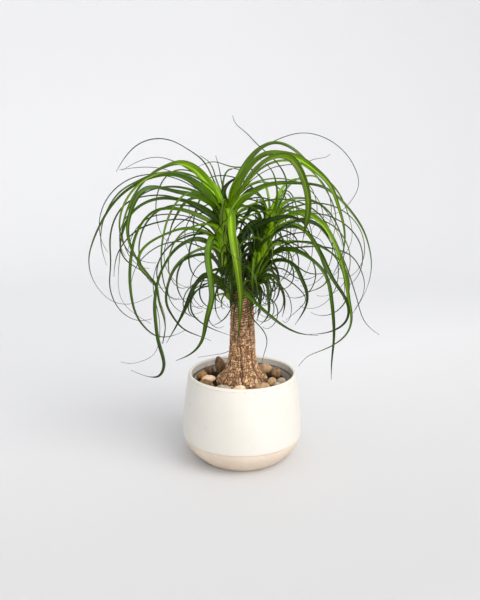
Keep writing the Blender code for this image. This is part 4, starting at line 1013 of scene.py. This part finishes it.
BLADE_GAP = 1.0                  # the least gap between two blades' edges
LEAST_APART = 6.0                # and between their middle lines
SHOOT_GAP = 2.0                  # and round a shoot
MOUTH_RINGS = (90.5, 70.0, 50.0)    # rings over the pot's mouth that leaves stay clear of,
MOUTH_ROOM = 16.0                # by this much
TIP_WIDTH = 1.0


def run_along(line):
    """The distance along a line from its first point to each of its points."""
    return np.append(0.0, np.cumsum(np.linalg.norm(np.diff(line, axis=0), axis=1)))


def points_at(at, run, line):
    """The line's points at the distances at, where run gives the distance of each of its own."""
    return np.stack([np.interp(at, run, axis) for axis in line.T], 1)


def evenly(line, step):
    """The line's points at even distances of about step."""
    run = run_along(line)
    count = max(4, int(round(run[-1] / step)) + 1)
    return points_at(np.linspace(0, run[-1], count), run, line)


def smooth_line(points):
    """A dense natural cubic curve through a few points, its parameter the chord length."""
    knots = np.asarray(points, float)
    at = run_along(knots)
    steps = np.diff(at)
    count = len(knots)
    rule = np.eye(count)
    right = np.zeros((count, knots.shape[1]))
    for i in range(1, count - 1):
        rule[i, i - 1:i + 2] = steps[i - 1], 2 * (steps[i - 1] + steps[i]), steps[i]
        right[i] = 6 * ((knots[i + 1] - knots[i]) / steps[i] - (knots[i] - knots[i - 1]) / steps[i - 1])
    bend = np.linalg.solve(rule, right)
    u = np.linspace(0, at[-1], LINE_POINTS)
    k = np.clip(np.searchsorted(at, u, side="right") - 1, 0, count - 2)
    h = steps[k][:, None]
    a = (at[k + 1] - u)[:, None]
    b = (u - at[k])[:, None]
    cubic = (bend[k] * a ** 3 + bend[k + 1] * b ** 3) / (6 * h)
    return cubic + (knots[k] / h - bend[k] * h / 6) * a + (knots[k + 1] / h - bend[k + 1] * h / 6) * b


def shoot_way(shoot):
    """A shoot's foot, and the way from there to its top."""
    foot, top, _ = SHOOTS[shoot]
    return np.array(foot), np.array(top) - np.array(foot)


def shoot_point(shoot, z):
    """The point of a shoot's middle line at height z."""
    foot, way = shoot_way(shoot)
    return foot + way * ((z - foot[2]) / way[2])


def drawn_line(shoot, swing, seen):
    """A drawn leaf in space: its depth goes from the shoot to swing as a quarter sine, and each
    point lies on the eye's line through its place on the trunk's plane."""
    flat = smooth_line(seen)
    run = np.linspace(0, 1, len(flat))
    root = shoot_point(shoot, seen[0][1])
    depth = root[1] + swing * np.sin(np.minimum(run / SWING_RUN, 1.0) * math.pi / 2)
    scale = 1.0 - depth / EYE[1]
    x = EYE[0] + (flat[:, 0] - EYE[0]) * scale
    z = EYE[2] + (flat[:, 1] - EYE[2]) * scale
    return np.stack([x, depth, z], 1)


def grown_line(root, heading, rise, length, sway, over=TURN_TO_TIP):
    """A leaf that follows its own growth: it leaves the shoot at rise degrees, turns over by
    over degrees, faster towards the tip, and drifts sideways by sway degrees."""
    run = np.linspace(0, 1, LINE_POINTS)
    slope = np.radians(rise - over * (run + 0.8 * run ** 3) / 1.8)
    turn = np.radians(heading + sway * run ** 2)
    along = polar(np.cos(slope), turn, np.sin(slope))
    return np.asarray(root) + np.cumsum(along, axis=0) * (length / (LINE_POINTS - 1))


def blade_form(run, width, taper):
    """Full width from a tenth of the run up, then a fall by the power taper to nothing."""
    return width * np.minimum(1.0, 0.8 + 2.0 * run) * (1.0 - run) ** taper


def blade_radii(count, width, taper):
    """A blade's half widths at count even places, half of TIP_WIDTH at the least."""
    return np.maximum(blade_form(np.linspace(0, 1, count), width, taper), TIP_WIDTH) / 2


def hang_limit(root, heading, lift):
    """The lowest that a fill leaf may hang: lower at the sides than in front and behind."""
    facing = math.sin(math.radians(heading)) ** 2
    return min(SIDE_LIMIT + (FACE_LIMIT - SIDE_LIMIT) * facing + lift, root[2] - LEAST_HANG)


def faces_front(heading):
    """Whether a leaf heads within FRONT_SECTOR degrees of the front, -Y."""
    return abs((heading + 270.0) % 360.0 - 180.0) < FRONT_SECTOR


class Crowd:
    """Points of everything that is in place, each with its radius and the head it is part of."""

    def __init__(self):
        self.points = np.zeros((0, 3))
        self.radii = np.zeros(0)
        self.owners = np.zeros(0, int)

    def add(self, points, radii, owner):
        count = len(points)
        self.points = np.concatenate([self.points, points])
        self.radii = np.concatenate([self.radii, np.broadcast_to(radii, count)])
        self.owners = np.concatenate([self.owners, np.full(count, owner)])

    def room(self, line, width, taper, owner):
        """The least distance left over between a new leaf and all that is in place."""
        points = evenly(line, CLEAR_STEP)
        radii = blade_radii(len(points), width, taper)
        apart = np.linalg.norm(points[:, None, :] - self.points[None, :, :], axis=2)
        need = np.maximum(radii[:, None] + self.radii[None, :] + BLADE_GAP, LEAST_APART)
        spare = apart - need
        near_root = np.arange(len(points)) * CLEAR_STEP < ROOT_ZONE
        spare[near_root[:, None] & (self.owners == owner)[None, :]] = np.inf
        return spare.min()


def obstacles():
    """The trunk, the pot's mouth and the four shoots, as balls along their middle lines."""
    crowd = Crowd()
    heights = np.arange(SOIL_TOP_Z, TRUNK_TOP_Z, 5.0)
    crowd.add(polar(0.0, 0.0, heights), trunk_radius(heights), -1)
    for radius in MOUTH_RINGS:
        crowd.add(polar(radius, full_turn(90), GROW_RIM_Z + 1.0), MOUTH_ROOM, -1)
    for number, shoot in enumerate(SHOOTS):
        foot, way = shoot_way(shoot)
        crowd.add(foot + way * np.linspace(0, 1, 24)[:, None], SHOOTS[shoot][2] + SHOOT_GAP, number)
    return crowd


def first_clear(crowd, line_at, width, taper, owner):
    """The line that needs the least swing, to either side, to clear all that is in place."""
    best = None
    for attempt in range(SIDE_TRIES):
        side = (attempt + 1) // 2 * (1 if attempt % 2 else -1)
        line = line_at(side * SIDE_STEP)
        room = crowd.room(line, width, taper, owner)
        if best is None or room > best[0]:
            best = (room, line)
        if room >= 0:
            return room, line
    return best


def keep(crowd, leaves, line, width, taper, twist, owner):
    """Puts a leaf in place and adds it to the crowd, all but its root."""
    points = evenly(line, CLEAR_STEP)
    crowd.add(points[1:], blade_radii(len(points), width, taper)[1:], owner)
    leaves.append((line, width, taper, twist))


def settle_leaves():
    """Every leaf's line, width, taper and twist, by head: the drawn ones first, then the fill.
    A fill leaf stands a golden angle round from the one below it."""
    crowd = obstacles()
    leaves = {shoot: [] for shoot in SHOOTS}
    for owner, shoot in enumerate(SHOOTS):
        for width, taper, swing, twist, seen in DRAWN[shoot]:
            _, line = first_clear(
                crowd, lambda side: drawn_line(shoot, swing + side, seen), width, taper, owner)
            keep(crowd, leaves[shoot], line, width, taper, twist, owner)
    draw = np.random.default_rng(LEAF_SEED)
    for owner, shoot in enumerate(SHOOTS):
        count, longest, shortest, widest, low_rise, high_rise = FILL[shoot]
        foot, top, _ = SHOOTS[shoot]
        low = foot[2] + LOWEST_LEAF * (top[2] - foot[2])
        for i in range(count):
            share = (i + 0.5) / count
            heading = i * GOLDEN_ANGLE + draw.uniform(*HEADING_SPREAD)
            rise = low_rise + (high_rise - low_rise) * share + draw.uniform(*RISE_SPREAD)
            length = longest + (shortest - longest) * abs(share - LONGEST_AT) + draw.uniform(*LENGTH_SPREAD)
            width = widest * draw.uniform(*WIDTH_SHARE) * (1.0 - YOUNG_SHARE * share)
            sway = draw.uniform(*SWAY_SPREAD)
            twist = draw.uniform(*TWIST_SPREAD)
            root = shoot_point(shoot, low + (top[2] - low) * share)
            limit = hang_limit(root, heading, draw.uniform(0, HANG_SPREAD))
            length *= FRONT_SHARE if faces_front(heading) else 1.0
            while grown_line(root, heading, rise, length, sway)[:, 2].min() < limit:
                length *= SHORTER
            room, line = first_clear(
                crowd, lambda side: grown_line(root, heading + side, rise, length, sway),
                width, FILL_TAPER, owner)
            if room >= 0:
                keep(crowd, leaves[shoot], line, width, FILL_TAPER, twist, owner)
    return leaves


# Each head's leaf bases: how far down the shoot they reach, how far out they ease into the
# leaf, and their least and greatest width
CLASPS = {
    "head_main": (24.0, 34.0, 15.0, 27.0),
    "head_right": (20.0, 30.0, 13.0, 23.0),
    "rosette_left": (9.0, 16.0, 8.0, 11.0),
    "rosette_right": (9.0, 16.0, 8.0, 11.0),
}
BASE_TIMES = 2.3                 # a base is this many times as wide as its blade,
BASE_MOST = 3.0                  # and the least width never makes it more than this many times
SINK = 0.4                       # a base starts this far inside the shoot's skin
RING_STEP = 5.0                  # mm from one section of a blade to the next
RING_COUNT = (16, 84)            # the fewest and the most sections of a blade
# The places across a blade that carry points, for a full leaf and for a thin one
ACROSS = np.array([1.0, 0.74, 0.45, 0.16, 0.0, -0.16, -0.45, -0.74, -1.0])
ACROSS_THIN = np.array([1.0, 0.5, 0.0, -0.5, -1.0])
THIN_STEP = 8.0
ARCH_TURN = 0.75                 # a blade shows less of its twist, by this share, where it
ARCH_PLACE = 0.33                # arches over, this share of its run out,
ARCH_SPREAD = 0.15               # within this share of its run
TURN_IN = 0.12                   # the twist comes in over this share of the run
WOBBLE = 0.12                    # and wavers by this, in radians,
WOBBLE_RUN = 47.0                # with this many mm to each radian of the wave
OPEN_RUN = 90.0                  # mm over which a blade turns from the shoot's side to its own
OPEN_BEND = 0.5                  # half of a blade's bend across, in radians, near its base,
BEND_LOSS = 0.22                 # and how much of it is lost over BEND_RUN
BEND_RUN = 250.0
FOLD_DEPTH = 0.52                # of a blade's half width
FOLD_ROUND = 0.1
RIPPLE = 0.035                   # how high its edges ripple, the same,
RIPPLE_RUN = 11.0                # and mm to each radian of the ripple
EDGE_THICK = 0.28                # mm for a thread,
BLADE_THICK = 0.42               # with this more for a broad blade
BASE_THICK = 0.6                 # and this more where it clasps the shoot,
THICK_LOSS = 0.75                # of which this share is lost at the edges
RIB_THICK = 0.2                  # how much thicker a blade is along its fold
RIB_WIDTH = 0.12
THREAD_WIDTH = 0.8
WIDE_LEAF = 13.0                 # a leaf at least this wide narrows
END_PLACE = 0.25                 # beyond this share of its run,
BROAD_PLACE = 0.6                # or beyond this for the broad ones that hang in front,
END_LOSS = 0.5                   # and has lost this share of its width at the tip
THREAD_LOSS = 0.85               # of a blade's width, lost over THREAD_EASE of its run
THREAD_EASE = 0.09
NARROW_LEAF = 5.0                # a leaf no wider than this is dark,
NARROW_TONE = 0.3                # its tone by this factor
OLD_TONE = 0.1                   # the tone of the oldest leaf, how much the youngest is brighter,
YOUNG_TONE = 0.65
TONE_SPREAD = 0.5                # and how far chance takes it, a little more up than down

# Drawn leaves whose tone is seen, from 0 for deep green to 1 for lime, by their place in DRAWN.
# Each copies how bright the leaf is seen, so it carries painted shade for leaves in the crown's shadow and
# painted light for the lit ones in front.
DRAWN_TONES_PAINTED_LIGHT = {
    "head_main": {0: 0.95, 1: 0.45, 3: 0.2, 6: 0.4, 7: 0.55, 9: 0.35, 10: 0.3, 12: 0.25, 13: 0.6, 14: 1.0,
                  18: 0.7, 19: 0.85, 20: 0.9, 23: 0.12, 24: 0.55, 25: 0.6, 26: 0.5, 27: 0.3},
    "head_right": {1: 0.8, 4: 0.4, 7: 0.3, 9: 0.75, 13: 0.1, 14: 0.05, 15: 0.35},
    "rosette_left": {0: 0.2},
    "rosette_right": {0: 0.42, 1: 0.3, 2: 0.35, 3: 0.3, 6: 0.5, 7: 0.45},
}
# Drawn leaves with a form of their own: no dip keeps the twist where the blade arches over, end
# is where it starts to narrow and thread where its thin end starts, as shares of its run
OWN_FORM = {
    ("head_main", 10): {"thread": 0.84},
    ("head_main", 13): {"end": BROAD_PLACE},
    ("head_main", 14): {"end": BROAD_PLACE, "taper": 0.45},
    ("head_main", 20): {"twist": 47.0, "dip": 0.0, "taper": 0.2, "thread": 0.86},
    ("head_main", 23): {"twist": 62.0, "dip": 0.0},
    ("head_right", 13): {"twist": -62.0, "dip": 0.0},
    ("head_right", 14): {"twist": -62.0, "dip": 0.0},
}
# The dry stubs of fallen leaves low on the two tall shoots
STUB_START = 5.0                 # mm above the shoot's foot,
STUB_END = 14.0                  # and above its lowest leaf
STUB_STEP = 1.9
STUB_LENGTH = 27.0
STUB_RISE = 64.0
STUB_WIDTH = 3.6
STUB_TONES = (0.0, 0.35)
STUB_DRYNESS = (0.0, 0.8)
SHADE_SEED = 23
# The shoot's own values for the leaf finish
SHOOT_VALUES = {"from_base": 5.0, "to_tip": 400.0, "across": 0.0, "beneath": 0.0, "leaf_tone_and_painted_light": 0.3,
                "dryness": 0.25}
# A blade's greens from old to young, and its base's when young and when old, each by the mm
# from the base times 0.005
GREENS = ((0.0, (0.009, 0.036, 0.0012)), (0.5, (0.078, 0.178, 0.002)), (1.0, (0.23, 0.41, 0.009)))
YOUNG_BASE = ((0.0, (0.4, 0.64, 0.014)), (0.16, (0.3, 0.55, 0.008)), (0.42, (0.18, 0.38, 0.006)))
OLD_BASE = ((0.0, (0.075, 0.13, 0.008)), (0.2, (0.045, 0.1, 0.004)), (0.42, (0.034, 0.088, 0.003)))
UNDERSIDE = (0.12, 0.22, 0.03)
DRY_TIP = (0.07, 0.06, 0.035)
DRY_TONES = ((0.3, (0.07, 0.05, 0.02)), (0.7, (0.2, 0.17, 0.05)))
LIGHT_THROUGH = 0.25


def unit(vectors):
    """The vectors at length 1."""
    return vectors / np.maximum(np.linalg.norm(vectors, axis=-1, keepdims=True), 1e-9)


def ease(share):
    """A smooth step from 0 to 1."""
    share = np.clip(share, 0.0, 1.0)
    return share * share * (3.0 - 2.0 * share)


def turning(run, dip):
    """How much of its twist a blade shows along its run: it comes in near the root, and where
    dip is 1 it falls where the blade arches over with its face to the sky."""
    arch = 1.0 - dip * ARCH_TURN * np.exp(-((run - ARCH_PLACE) / ARCH_SPREAD) ** 2)
    return arch * np.sin(np.minimum(run / TURN_IN, 1.0) * math.pi / 2) ** 2


def clasped(shoot, line):
    """The leaf's line with its base: it starts on the shoot's side below its node, runs up
    along it, and a cubic curve eases it into the leaf's own line. Also the place of each
    point as a share of the leaf, and the way round the shoot at the base."""
    foot, shoot_run = shoot_way(shoot)
    axis = unit(shoot_run)
    run = run_along(line)
    reach_down, ease_run, _, _ = CLASPS[shoot]
    joint = min(int(np.searchsorted(run, ease_run)), len(line) // 2)
    for end in (joint, len(line) // 2):
        out = line[end] - line[0]
        out = out - axis * (out @ axis)
        if np.linalg.norm(out) >= 4.0:
            break
    out = unit(out)
    node = (line[0] - foot) @ axis
    drop = min(reach_down, float(node) + 5.0)
    start = line[0] - axis * drop + out * (SHOOTS[shoot][2] - SINK)
    way = unit(line[joint + 1] - line[joint - 1])
    reach = np.linalg.norm(line[joint] - start)
    t = np.linspace(0, 1, 40)[:-1, None]
    curve = ((2 * t ** 3 - 3 * t ** 2 + 1) * start + (t ** 3 - 2 * t ** 2 + t) * reach * axis
             + (3 * t ** 2 - 2 * t ** 3) * line[joint] + (t ** 3 - t ** 2) * reach * way)
    share = np.concatenate([t[:, 0] * run[joint], run[joint:]]) / run[-1]
    return np.concatenate([curve, line[joint:]]), share, np.cross(axis, out)


def blade_stand(path, line, round_shoot, at, angle):
    """Where a blade's sections stand: their middles, and the ways across and up. The way across
    turns from round the shoot to level over OPEN_RUN, and is then twisted by the angle."""
    middle = points_at(at, run_along(path), path)
    along = unit(np.gradient(middle, axis=0))
    reach = line[len(line) // 2] - line[0]
    level = unit(np.array([-reach[1], reach[0], 0.0]))
    if level @ round_shoot < -0.3:
        round_shoot = -round_shoot
    opened = ease(at / OPEN_RUN)[:, None]
    level = unit(round_shoot * (1 - opened) + level * opened)
    side = unit(level - along * np.sum(along * level, axis=1)[:, None])
    up = np.cross(along, side)
    cos, sin = np.cos(angle)[:, None], np.sin(angle)[:, None]
    return middle, side * cos + up * sin, up * cos - side * sin


def blade_section(at, half, bend, clasp, u):
    """The section across, at places u from -1 to 1: x across, y up and the thickness. It is an
    arc of angle 2 bend, with a fold along its middle and ripples near its edges."""
    radius = (half / bend)[:, None]
    fold = (FOLD_DEPTH * (1.0 - clasp) * half)[:, None] * (np.sqrt(u * u + FOLD_ROUND ** 2) - FOLD_ROUND)
    waves = np.sin(at[:, None] / RIPPLE_RUN + 2.0 * u) * (1.0 - clasp)[:, None]
    y = radius * (1.0 - np.cos(bend[:, None] * u)) + fold + RIPPLE * half[:, None] * u ** 2 * waves
    thick = EDGE_THICK + BLADE_THICK * np.minimum(half / 4.0, 1.0) + BASE_THICK * clasp
    rib = RIB_THICK * np.exp(-(u / RIB_WIDTH) ** 2) * np.minimum(half / 5.0, 1.0)[:, None]
    thick = np.minimum(thick[:, None] * (1.0 - THICK_LOSS * u ** 2) + rib, half[:, None])
    return radius * np.sin(bend[:, None] * u), y, thick


def leaf_rings(shoot, line, width, taper, twist, draw, places=ACROSS, step=RING_STEP, dip=1.0,
               end=END_PLACE, thread=1.0):
    """One blade: a section carried along its line, at the base bent as the shoot is, further
    out more open. Values for the finish go with each point: mm from the base, mm to the tip,
    place across, side, tone, dryness. A leaf rooted higher up the shoot is younger and
    brighter."""
    path, share, round_shoot = clasped(shoot, line)
    run = run_along(path)
    count = int(np.clip(run[-1] / step, *RING_COUNT))
    at = run[-1] * np.linspace(0, 1, count)
    share = np.interp(at, run, share)
    angle = np.radians(twist) * turning(share, dip)
    angle = angle + WOBBLE * np.sin(at / WOBBLE_RUN + draw.uniform(0, 6)) * ease(at / 120.0)
    middle, side, up = blade_stand(path, line, round_shoot, at, angle)
    _, ease_run, low, high = CLASPS[shoot]
    base = float(np.clip(BASE_TIMES * width, min(low, BASE_MOST * width), high))
    blade = blade_form(share, width, taper)
    if width >= WIDE_LEAF:
        blade = blade * (1.0 - END_LOSS * ease((share - end) / (1.0 - end)))
    blade = blade * (1.0 - THREAD_LOSS * ease((share - thread) / THREAD_EASE))
    blade = np.maximum(blade, THREAD_WIDTH)
    clasp = 1.0 - ease(at / (1.5 * ease_run))
    half = (blade + (base - blade) * clasp) / 2
    bend = np.maximum(clasp ** 1.5 * base / 2 / SHOOTS[shoot][2], OPEN_BEND - BEND_LOSS * ease(at / BEND_RUN))
    x, y, thick = blade_section(at, half, bend, clasp, places[None, :])
    top = middle[:, None] + side[:, None] * x[..., None] + up[:, None] * y[..., None]
    under = top - up[:, None] * thick[..., None]
    rings = np.concatenate([top, under[:, -2:0:-1]], 1)
    points = rings.shape[1]
    inner = len(places) - 2
    foot, shoot_run = shoot_way(shoot)
    young = (line[0][2] - foot[2]) / shoot_run[2]
    tone = np.clip(OLD_TONE + YOUNG_TONE * young + TONE_SPREAD * (draw.random() - 0.4), 0, 1)
    return rings, {
        "from_base": np.repeat(at, points),
        "to_tip": np.repeat(run[-1] - at, points),
        "across": np.tile(np.append(places, places[-2:0:-1]), count),
        "beneath": np.tile(np.repeat([0.5, 0.0, 0.5, 1.0], [1, inner, 1, inner]), count),
        "leaf_tone_and_painted_light": np.full(count * points, tone * (NARROW_TONE if width <= NARROW_LEAF else 1.0)),
        "dryness": np.zeros(count * points),
    }


def shoot_rings(shoot):
    """The shoot itself: a round bar, fuller half way up, with soft ring scars and a round top."""
    foot, way = shoot_way(shoot)
    axis = unit(way)
    across = unit(np.cross(axis, (0.0, 1.0, 0.0)))
    other = np.cross(axis, across)
    turn = full_turn(40)
    share = np.linspace(0, 1, 90)[:, None]
    radius = SHOOTS[shoot][2] * (1.0 + SHOOT_BULGE * np.sin(math.pi * share))
    radius = radius * np.sqrt(np.clip((1.02 - share) / 0.08, 0.05, 1.0))
    scars = 0.3 * np.sin(share * np.linalg.norm(way) / 3.4 * 2 * math.pi + 0.7 * np.sin(2 * turn))
    radius = radius + scars * (share < 0.95)
    round_way = np.cos(turn)[:, None] * across + np.sin(turn)[:, None] * other
    return (foot + way * share)[:, None] + radius[..., None] * round_way


def leaf_finish():
    """Satin green blades, deeper for old leaves and lime for young ones: yellow-green at the
    base, a painted highlight as a pale line along the fold, painted shade on the edges, a dry
    brown tip, faint veins. Light shines through a little."""
    leaf = Finish("palm_leaf", (0.1, 0.24, 0.02), 0.4)
    # The tone carries the leaf's age and chance, and the painted shade and light of the drawn and inner
    # leaves.
    tone, base, to_tip, across = (leaf.read(name) for name in ("leaf_tone_and_painted_light", "from_base", "to_tip", "across"))
    near = leaf.times(base, 0.005)
    young = leaf.ramp(tone, (0.38, 0.0), (0.64, 1.0))
    start = leaf.blend(young, leaf.ramp(near, *OLD_BASE), leaf.ramp(near, *YOUNG_BASE))
    green = leaf.blend(leaf.ramp(near, (0.12, 0.0), (0.6, 1.0)), start, leaf.ramp(tone, *GREENS))
    green = leaf.tint(green, leaf.ramp(leaf.times(base, 0.0025), (0.3, 1.0), (0.85, 0.62)))
    green = leaf.tint(green, leaf.ramp(leaf.times(to_tip, 0.006), (0.1, 0.4), (0.9, 1.0)))
    green = leaf.tint(green, leaf.ramp(leaf.noise(26.0, 3.0, 0.5), (0.3, 0.8), (0.7, 1.18)))
    # Painted highlight and shade: the middle of the blade along its fold is lightened and its edges darkened.
    edge = leaf.maths("ABSOLUTE", across)
    fold = leaf.ramp(edge, (0.0, 0.95), (0.16, 0.72), (0.34, 0.5), (0.75, 0.42), (1.0, 0.25))
    fold = leaf.blend(leaf.ramp(near, (0.2, 0.75), (0.45, 0.0)), fold, (0.8, 0.8, 0.8))
    green = leaf.tint(green, leaf.tint(fold, (2.0, 1.95, 1.5)))
    bands = leaf.add("CombineXYZ", {"X": leaf.times(across, 3.2), "Y": leaf.times(base, 0.006),
                                    "Z": leaf.times(tone, 40.0)}).outputs["Vector"]
    green = leaf.tint(green, leaf.ramp(leaf.noise(2.0, 3.0, 0.6, bands), (0.36, 0.48), (0.66, 1.42)))
    green = leaf.blend(leaf.times(leaf.read("beneath"), 0.15), green, UNDERSIDE)
    tip = leaf.ramp(leaf.times(to_tip, 0.02), (0.08, 1.0), (0.5, 0.0))
    green = leaf.blend(leaf.times(tip, 0.8), green, DRY_TIP)
    dry = leaf.ramp(leaf.noise(90.0, 4.0), *DRY_TONES)
    colour = leaf.blend(leaf.read("dryness"), green, dry)
    leaf.colour(colour)
    leaf.gloss(leaf.ramp(leaf.noise(45.0), (0.3, 0.22), (0.7, 0.33)))
    leaf.shader.inputs["Specular IOR Level"].default_value = 0.32
    leaf.relief(leaf.maths("SINE", leaf.times(across, 34.0)), 0.04, 0.6)
    glow = leaf.add("BsdfTranslucent", {"Color": leaf.tint(colour, (1.0, 1.0, 0.3))})
    both = leaf.add("MixShader", {0: LIGHT_THROUGH, 1: leaf.shader.outputs[0], 2: glow.outputs[0]})
    leaf.tree.links.new(both.outputs[0], leaf.tree.nodes["Material Output"].inputs["Surface"])
    return leaf.material


def put_leaves(name, made):
    """One piece from many blades, each its rings and its values. A skin's two end points take
    the values of the first and the last point."""
    joined = {key: np.concatenate([np.append(v[key], v[key][[0, -1]]) for _, v in made])
              for key in made[0][1]}
    bunch = put_mesh(name, *gather([skin(rings) for rings, _ in made]), [palm_green], **joined)
    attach(bunch, "root")
    return bunch


def stubs(shoot, draw):
    """The stubs of fallen leaves, one above another round the shoot: each is a short narrow
    leaf that stands close to it."""
    foot, way = shoot_way(shoot)
    ends = (foot[2] + STUB_START, foot[2] + LOWEST_LEAF * way[2] + STUB_END)
    for i, z in enumerate(np.arange(*ends, STUB_STEP)):
        line = grown_line(shoot_point(shoot, z), i * GOLDEN_ANGLE, STUB_RISE, STUB_LENGTH, 0.0)
        rings, values = leaf_rings(shoot, line, STUB_WIDTH, FILL_TAPER, 0.0, draw)
        values["leaf_tone_and_painted_light"][:] = draw.uniform(*STUB_TONES)
        values["dryness"][:] = draw.uniform(*STUB_DRYNESS)
        values["to_tip"] += 10.0
        yield rings, values


def make_head(shoot, leaves, draw):
    """A shoot, its full leaves and, on the two tall ones, the stubs below them."""
    rings = shoot_rings(shoot)
    made = [(rings, {key: np.full(rings[..., 0].size, value) for key, value in SHOOT_VALUES.items()})]
    for number, (line, width, taper, twist) in enumerate(leaves):
        form = {"taper": taper, "twist": twist, **OWN_FORM.get((shoot, number), {})}
        made.append(leaf_rings(shoot, line, width, draw=draw, **form))
        # A drawn leaf's tone, which holds painted shade and light, replaces the one from its age.
        if number in DRAWN_TONES_PAINTED_LIGHT[shoot]:
            made[-1][1]["leaf_tone_and_painted_light"][:] = DRAWN_TONES_PAINTED_LIGHT[shoot][number]
    if shoot.startswith("head"):
        made += stubs(shoot, draw)
    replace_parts(put_leaves(shoot.replace("head", "leaves") + "_fine", made), shoot)


palm_green = leaf_finish()
shade_draw = np.random.default_rng(SHADE_SEED)
for shoot, leaves in settle_leaves().items():
    make_head(shoot, leaves, shade_draw)


# The thin leaves
# Between the full leaves hang the palm's many narrow ones, about 4 mm wide, and a few short
# broad ones, darkened as painted shade, fill the dark inside. Each head's are one piece that sits among its
# full leaves.

# Seen thin leaves: width, swing, twist and line, as the drawn ones have
THIN_DRAWN = {
    "head_main": (
        (3, -25, 20, ((-26, 414), (8, 458), (48, 484), (78, 489), (100, 492), (112, 497), (125, 499),
         (133, 501), (138, 505))),
        (5, 20, 40, ((-30, 372), (-55, 386), (-80, 399), (-105, 403), (-130, 399), (-160, 390),
         (-185, 372), (-203, 345), (-210, 310))),
        (4, 35, 30, ((-30, 378), (-60, 397), (-90, 408), (-120, 411), (-145, 407), (-163, 396),
         (-178, 375), (-186, 350))),
        (4, 10, 30, ((-30, 340), (-60, 355), (-90, 366), (-115, 366), (-140, 357), (-160, 342),
         (-175, 322), (-182, 300))),
        (3, -40, 20, ((-29, 372), (-80, 382), (-125, 352), (-146, 300), (-138, 240), (-139, 202),
         (-146, 181), (-155, 172), (-170, 165), (-190, 161), (-205, 164))),
    ),
    "head_right": (
        (4, 50, 30, ((46, 398), (70, 424), (95, 433), (115, 430), (125, 425), (135, 415), (143, 402),
         (150, 388), (157, 375), (162, 360))),
        (3, 60, 30, ((46, 396), (60, 418), (78, 424), (100, 418), (118, 415), (130, 409), (143, 398))),
        (4, 20, 30, ((42, 360), (65, 375), (90, 381), (104, 381), (115, 376), (125, 371), (135, 356))),
        (3, 55, 10, ((26, 306), (16, 270), (8, 235), (-4, 203), (-22, 183), (-50, 176), (-75, 172))),
        (4, -30, 40, ((36, 330), (60, 336), (84, 330), (102, 318), (125, 314), (146, 320))),
        (12, 18, -70, ((37, 377), (25, 392), (13, 394), (3, 383), (-3, 364), (-5, 344))),
        (12, 30, -75, ((34, 366), (22, 380), (11, 380), (2, 367), (-2, 348), (-3, 326))),
        (11, 8, -70, ((31, 352), (20, 364), (9, 363), (1, 349), (-1, 331), (1, 311))),
        (10, 22, -75, ((28, 340), (18, 350), (8, 346), (2, 331), (1, 313), (4, 296))),
        (9, 4, -70, ((24, 330), (14, 336), (5, 330), (2, 314), (4, 297))),
    ),
    "rosette_left": (
        (4, 25, 10, ((-25, 292), (-16, 270), (-24, 246), (-36, 234), (-50, 227))),
    ),
    "rosette_right": (
        (4, -20, 30, ((22, 300), (44, 322), (66, 322), (88, 308), (105, 305), (122, 312))),
    ),
}
# How many each head has in all, and the shortest and longest of the others
THIN = {
    "head_main": (24, 150.0, 370.0),
    "head_right": (22, 130.0, 330.0),
    "rosette_left": (8, 70.0, 150.0),
    "rosette_right": (9, 70.0, 160.0),
}
THIN_SEED = 41
THIN_TAPER = 0.5
THIN_HEIGHTS = (0.15, 1.0)       # where on the shoot they are rooted
THIN_RISE = (-5, 60)
THIN_BEND = (160, 250)           # degrees from root to tip
THIN_ROOM = 3.0                  # the width that has to be clear
THIN_WIDTH = (2.8, 4.6)
THIN_TWIST = (-70, 70)
THIN_SHADE = 0.85                # their tone by this factor
INNER_WIDTH = 8.0                # broader ones grow inside the crown, in its shade,
INNER_PAINTED_SHADE = 0.1                # and are darkened to deep green by this factor, as painted shade


def thin_leaf(shoot, draw):
    """A narrow leaf's line: as the full ones grow, with more curl and sideways drift."""
    foot, way = shoot_way(shoot)
    root = shoot_point(shoot, foot[2] + draw.uniform(*THIN_HEIGHTS) * way[2])
    heading, rise = draw.uniform(0, 360), draw.uniform(*THIN_RISE)
    length, sway, over = draw.uniform(*THIN[shoot][1:]), draw.uniform(*SWAY_SPREAD), draw.uniform(*THIN_BEND)
    limit = hang_limit(root, heading, draw.uniform(0, HANG_SPREAD))
    length *= FRONT_SHARE if faces_front(heading) else 1.0
    while grown_line(root, heading, rise, length, sway, over)[:, 2].min() < limit:
        length *= SHORTER
    return grown_line(root, heading, rise, length, sway, over)


def make_thin_leaves(shoot, owner, draw):
    """The seen ones, and grown ones that clear the trunk, the pot and the other shoots."""
    clear_of = obstacles()
    leaves = [(drawn_line(shoot, swing, seen), width, THIN_TAPER, twist)
              for width, swing, twist, seen in THIN_DRAWN[shoot]]
    while len(leaves) < THIN[shoot][0]:
        line = thin_leaf(shoot, draw)
        if clear_of.room(line, THIN_ROOM, THIN_TAPER, owner) >= 0:
            leaves.append((line, draw.uniform(*THIN_WIDTH), THIN_TAPER, draw.uniform(*THIN_TWIST)))
    made = [leaf_rings(shoot, *leaf, draw, ACROSS_THIN, THIN_STEP) for leaf in leaves]
    for (_, width, _, _), (_, values) in zip(leaves, made):
        # Painted shade: the broad inner leaves are made deep green for the crown's shadow.
        values["leaf_tone_and_painted_light"] *= THIN_SHADE if width < INNER_WIDTH else INNER_PAINTED_SHADE
    put_leaves(shoot.replace("head", "leaves") + "_thin", made)


thin_draw = np.random.default_rng(THIN_SEED)
for owner, shoot in enumerate(SHOOTS):
    make_thin_leaves(shoot, owner, thin_draw)

visual_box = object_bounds()
str([[list(corner) for corner in box] for box in (cad_box, visual_box)])
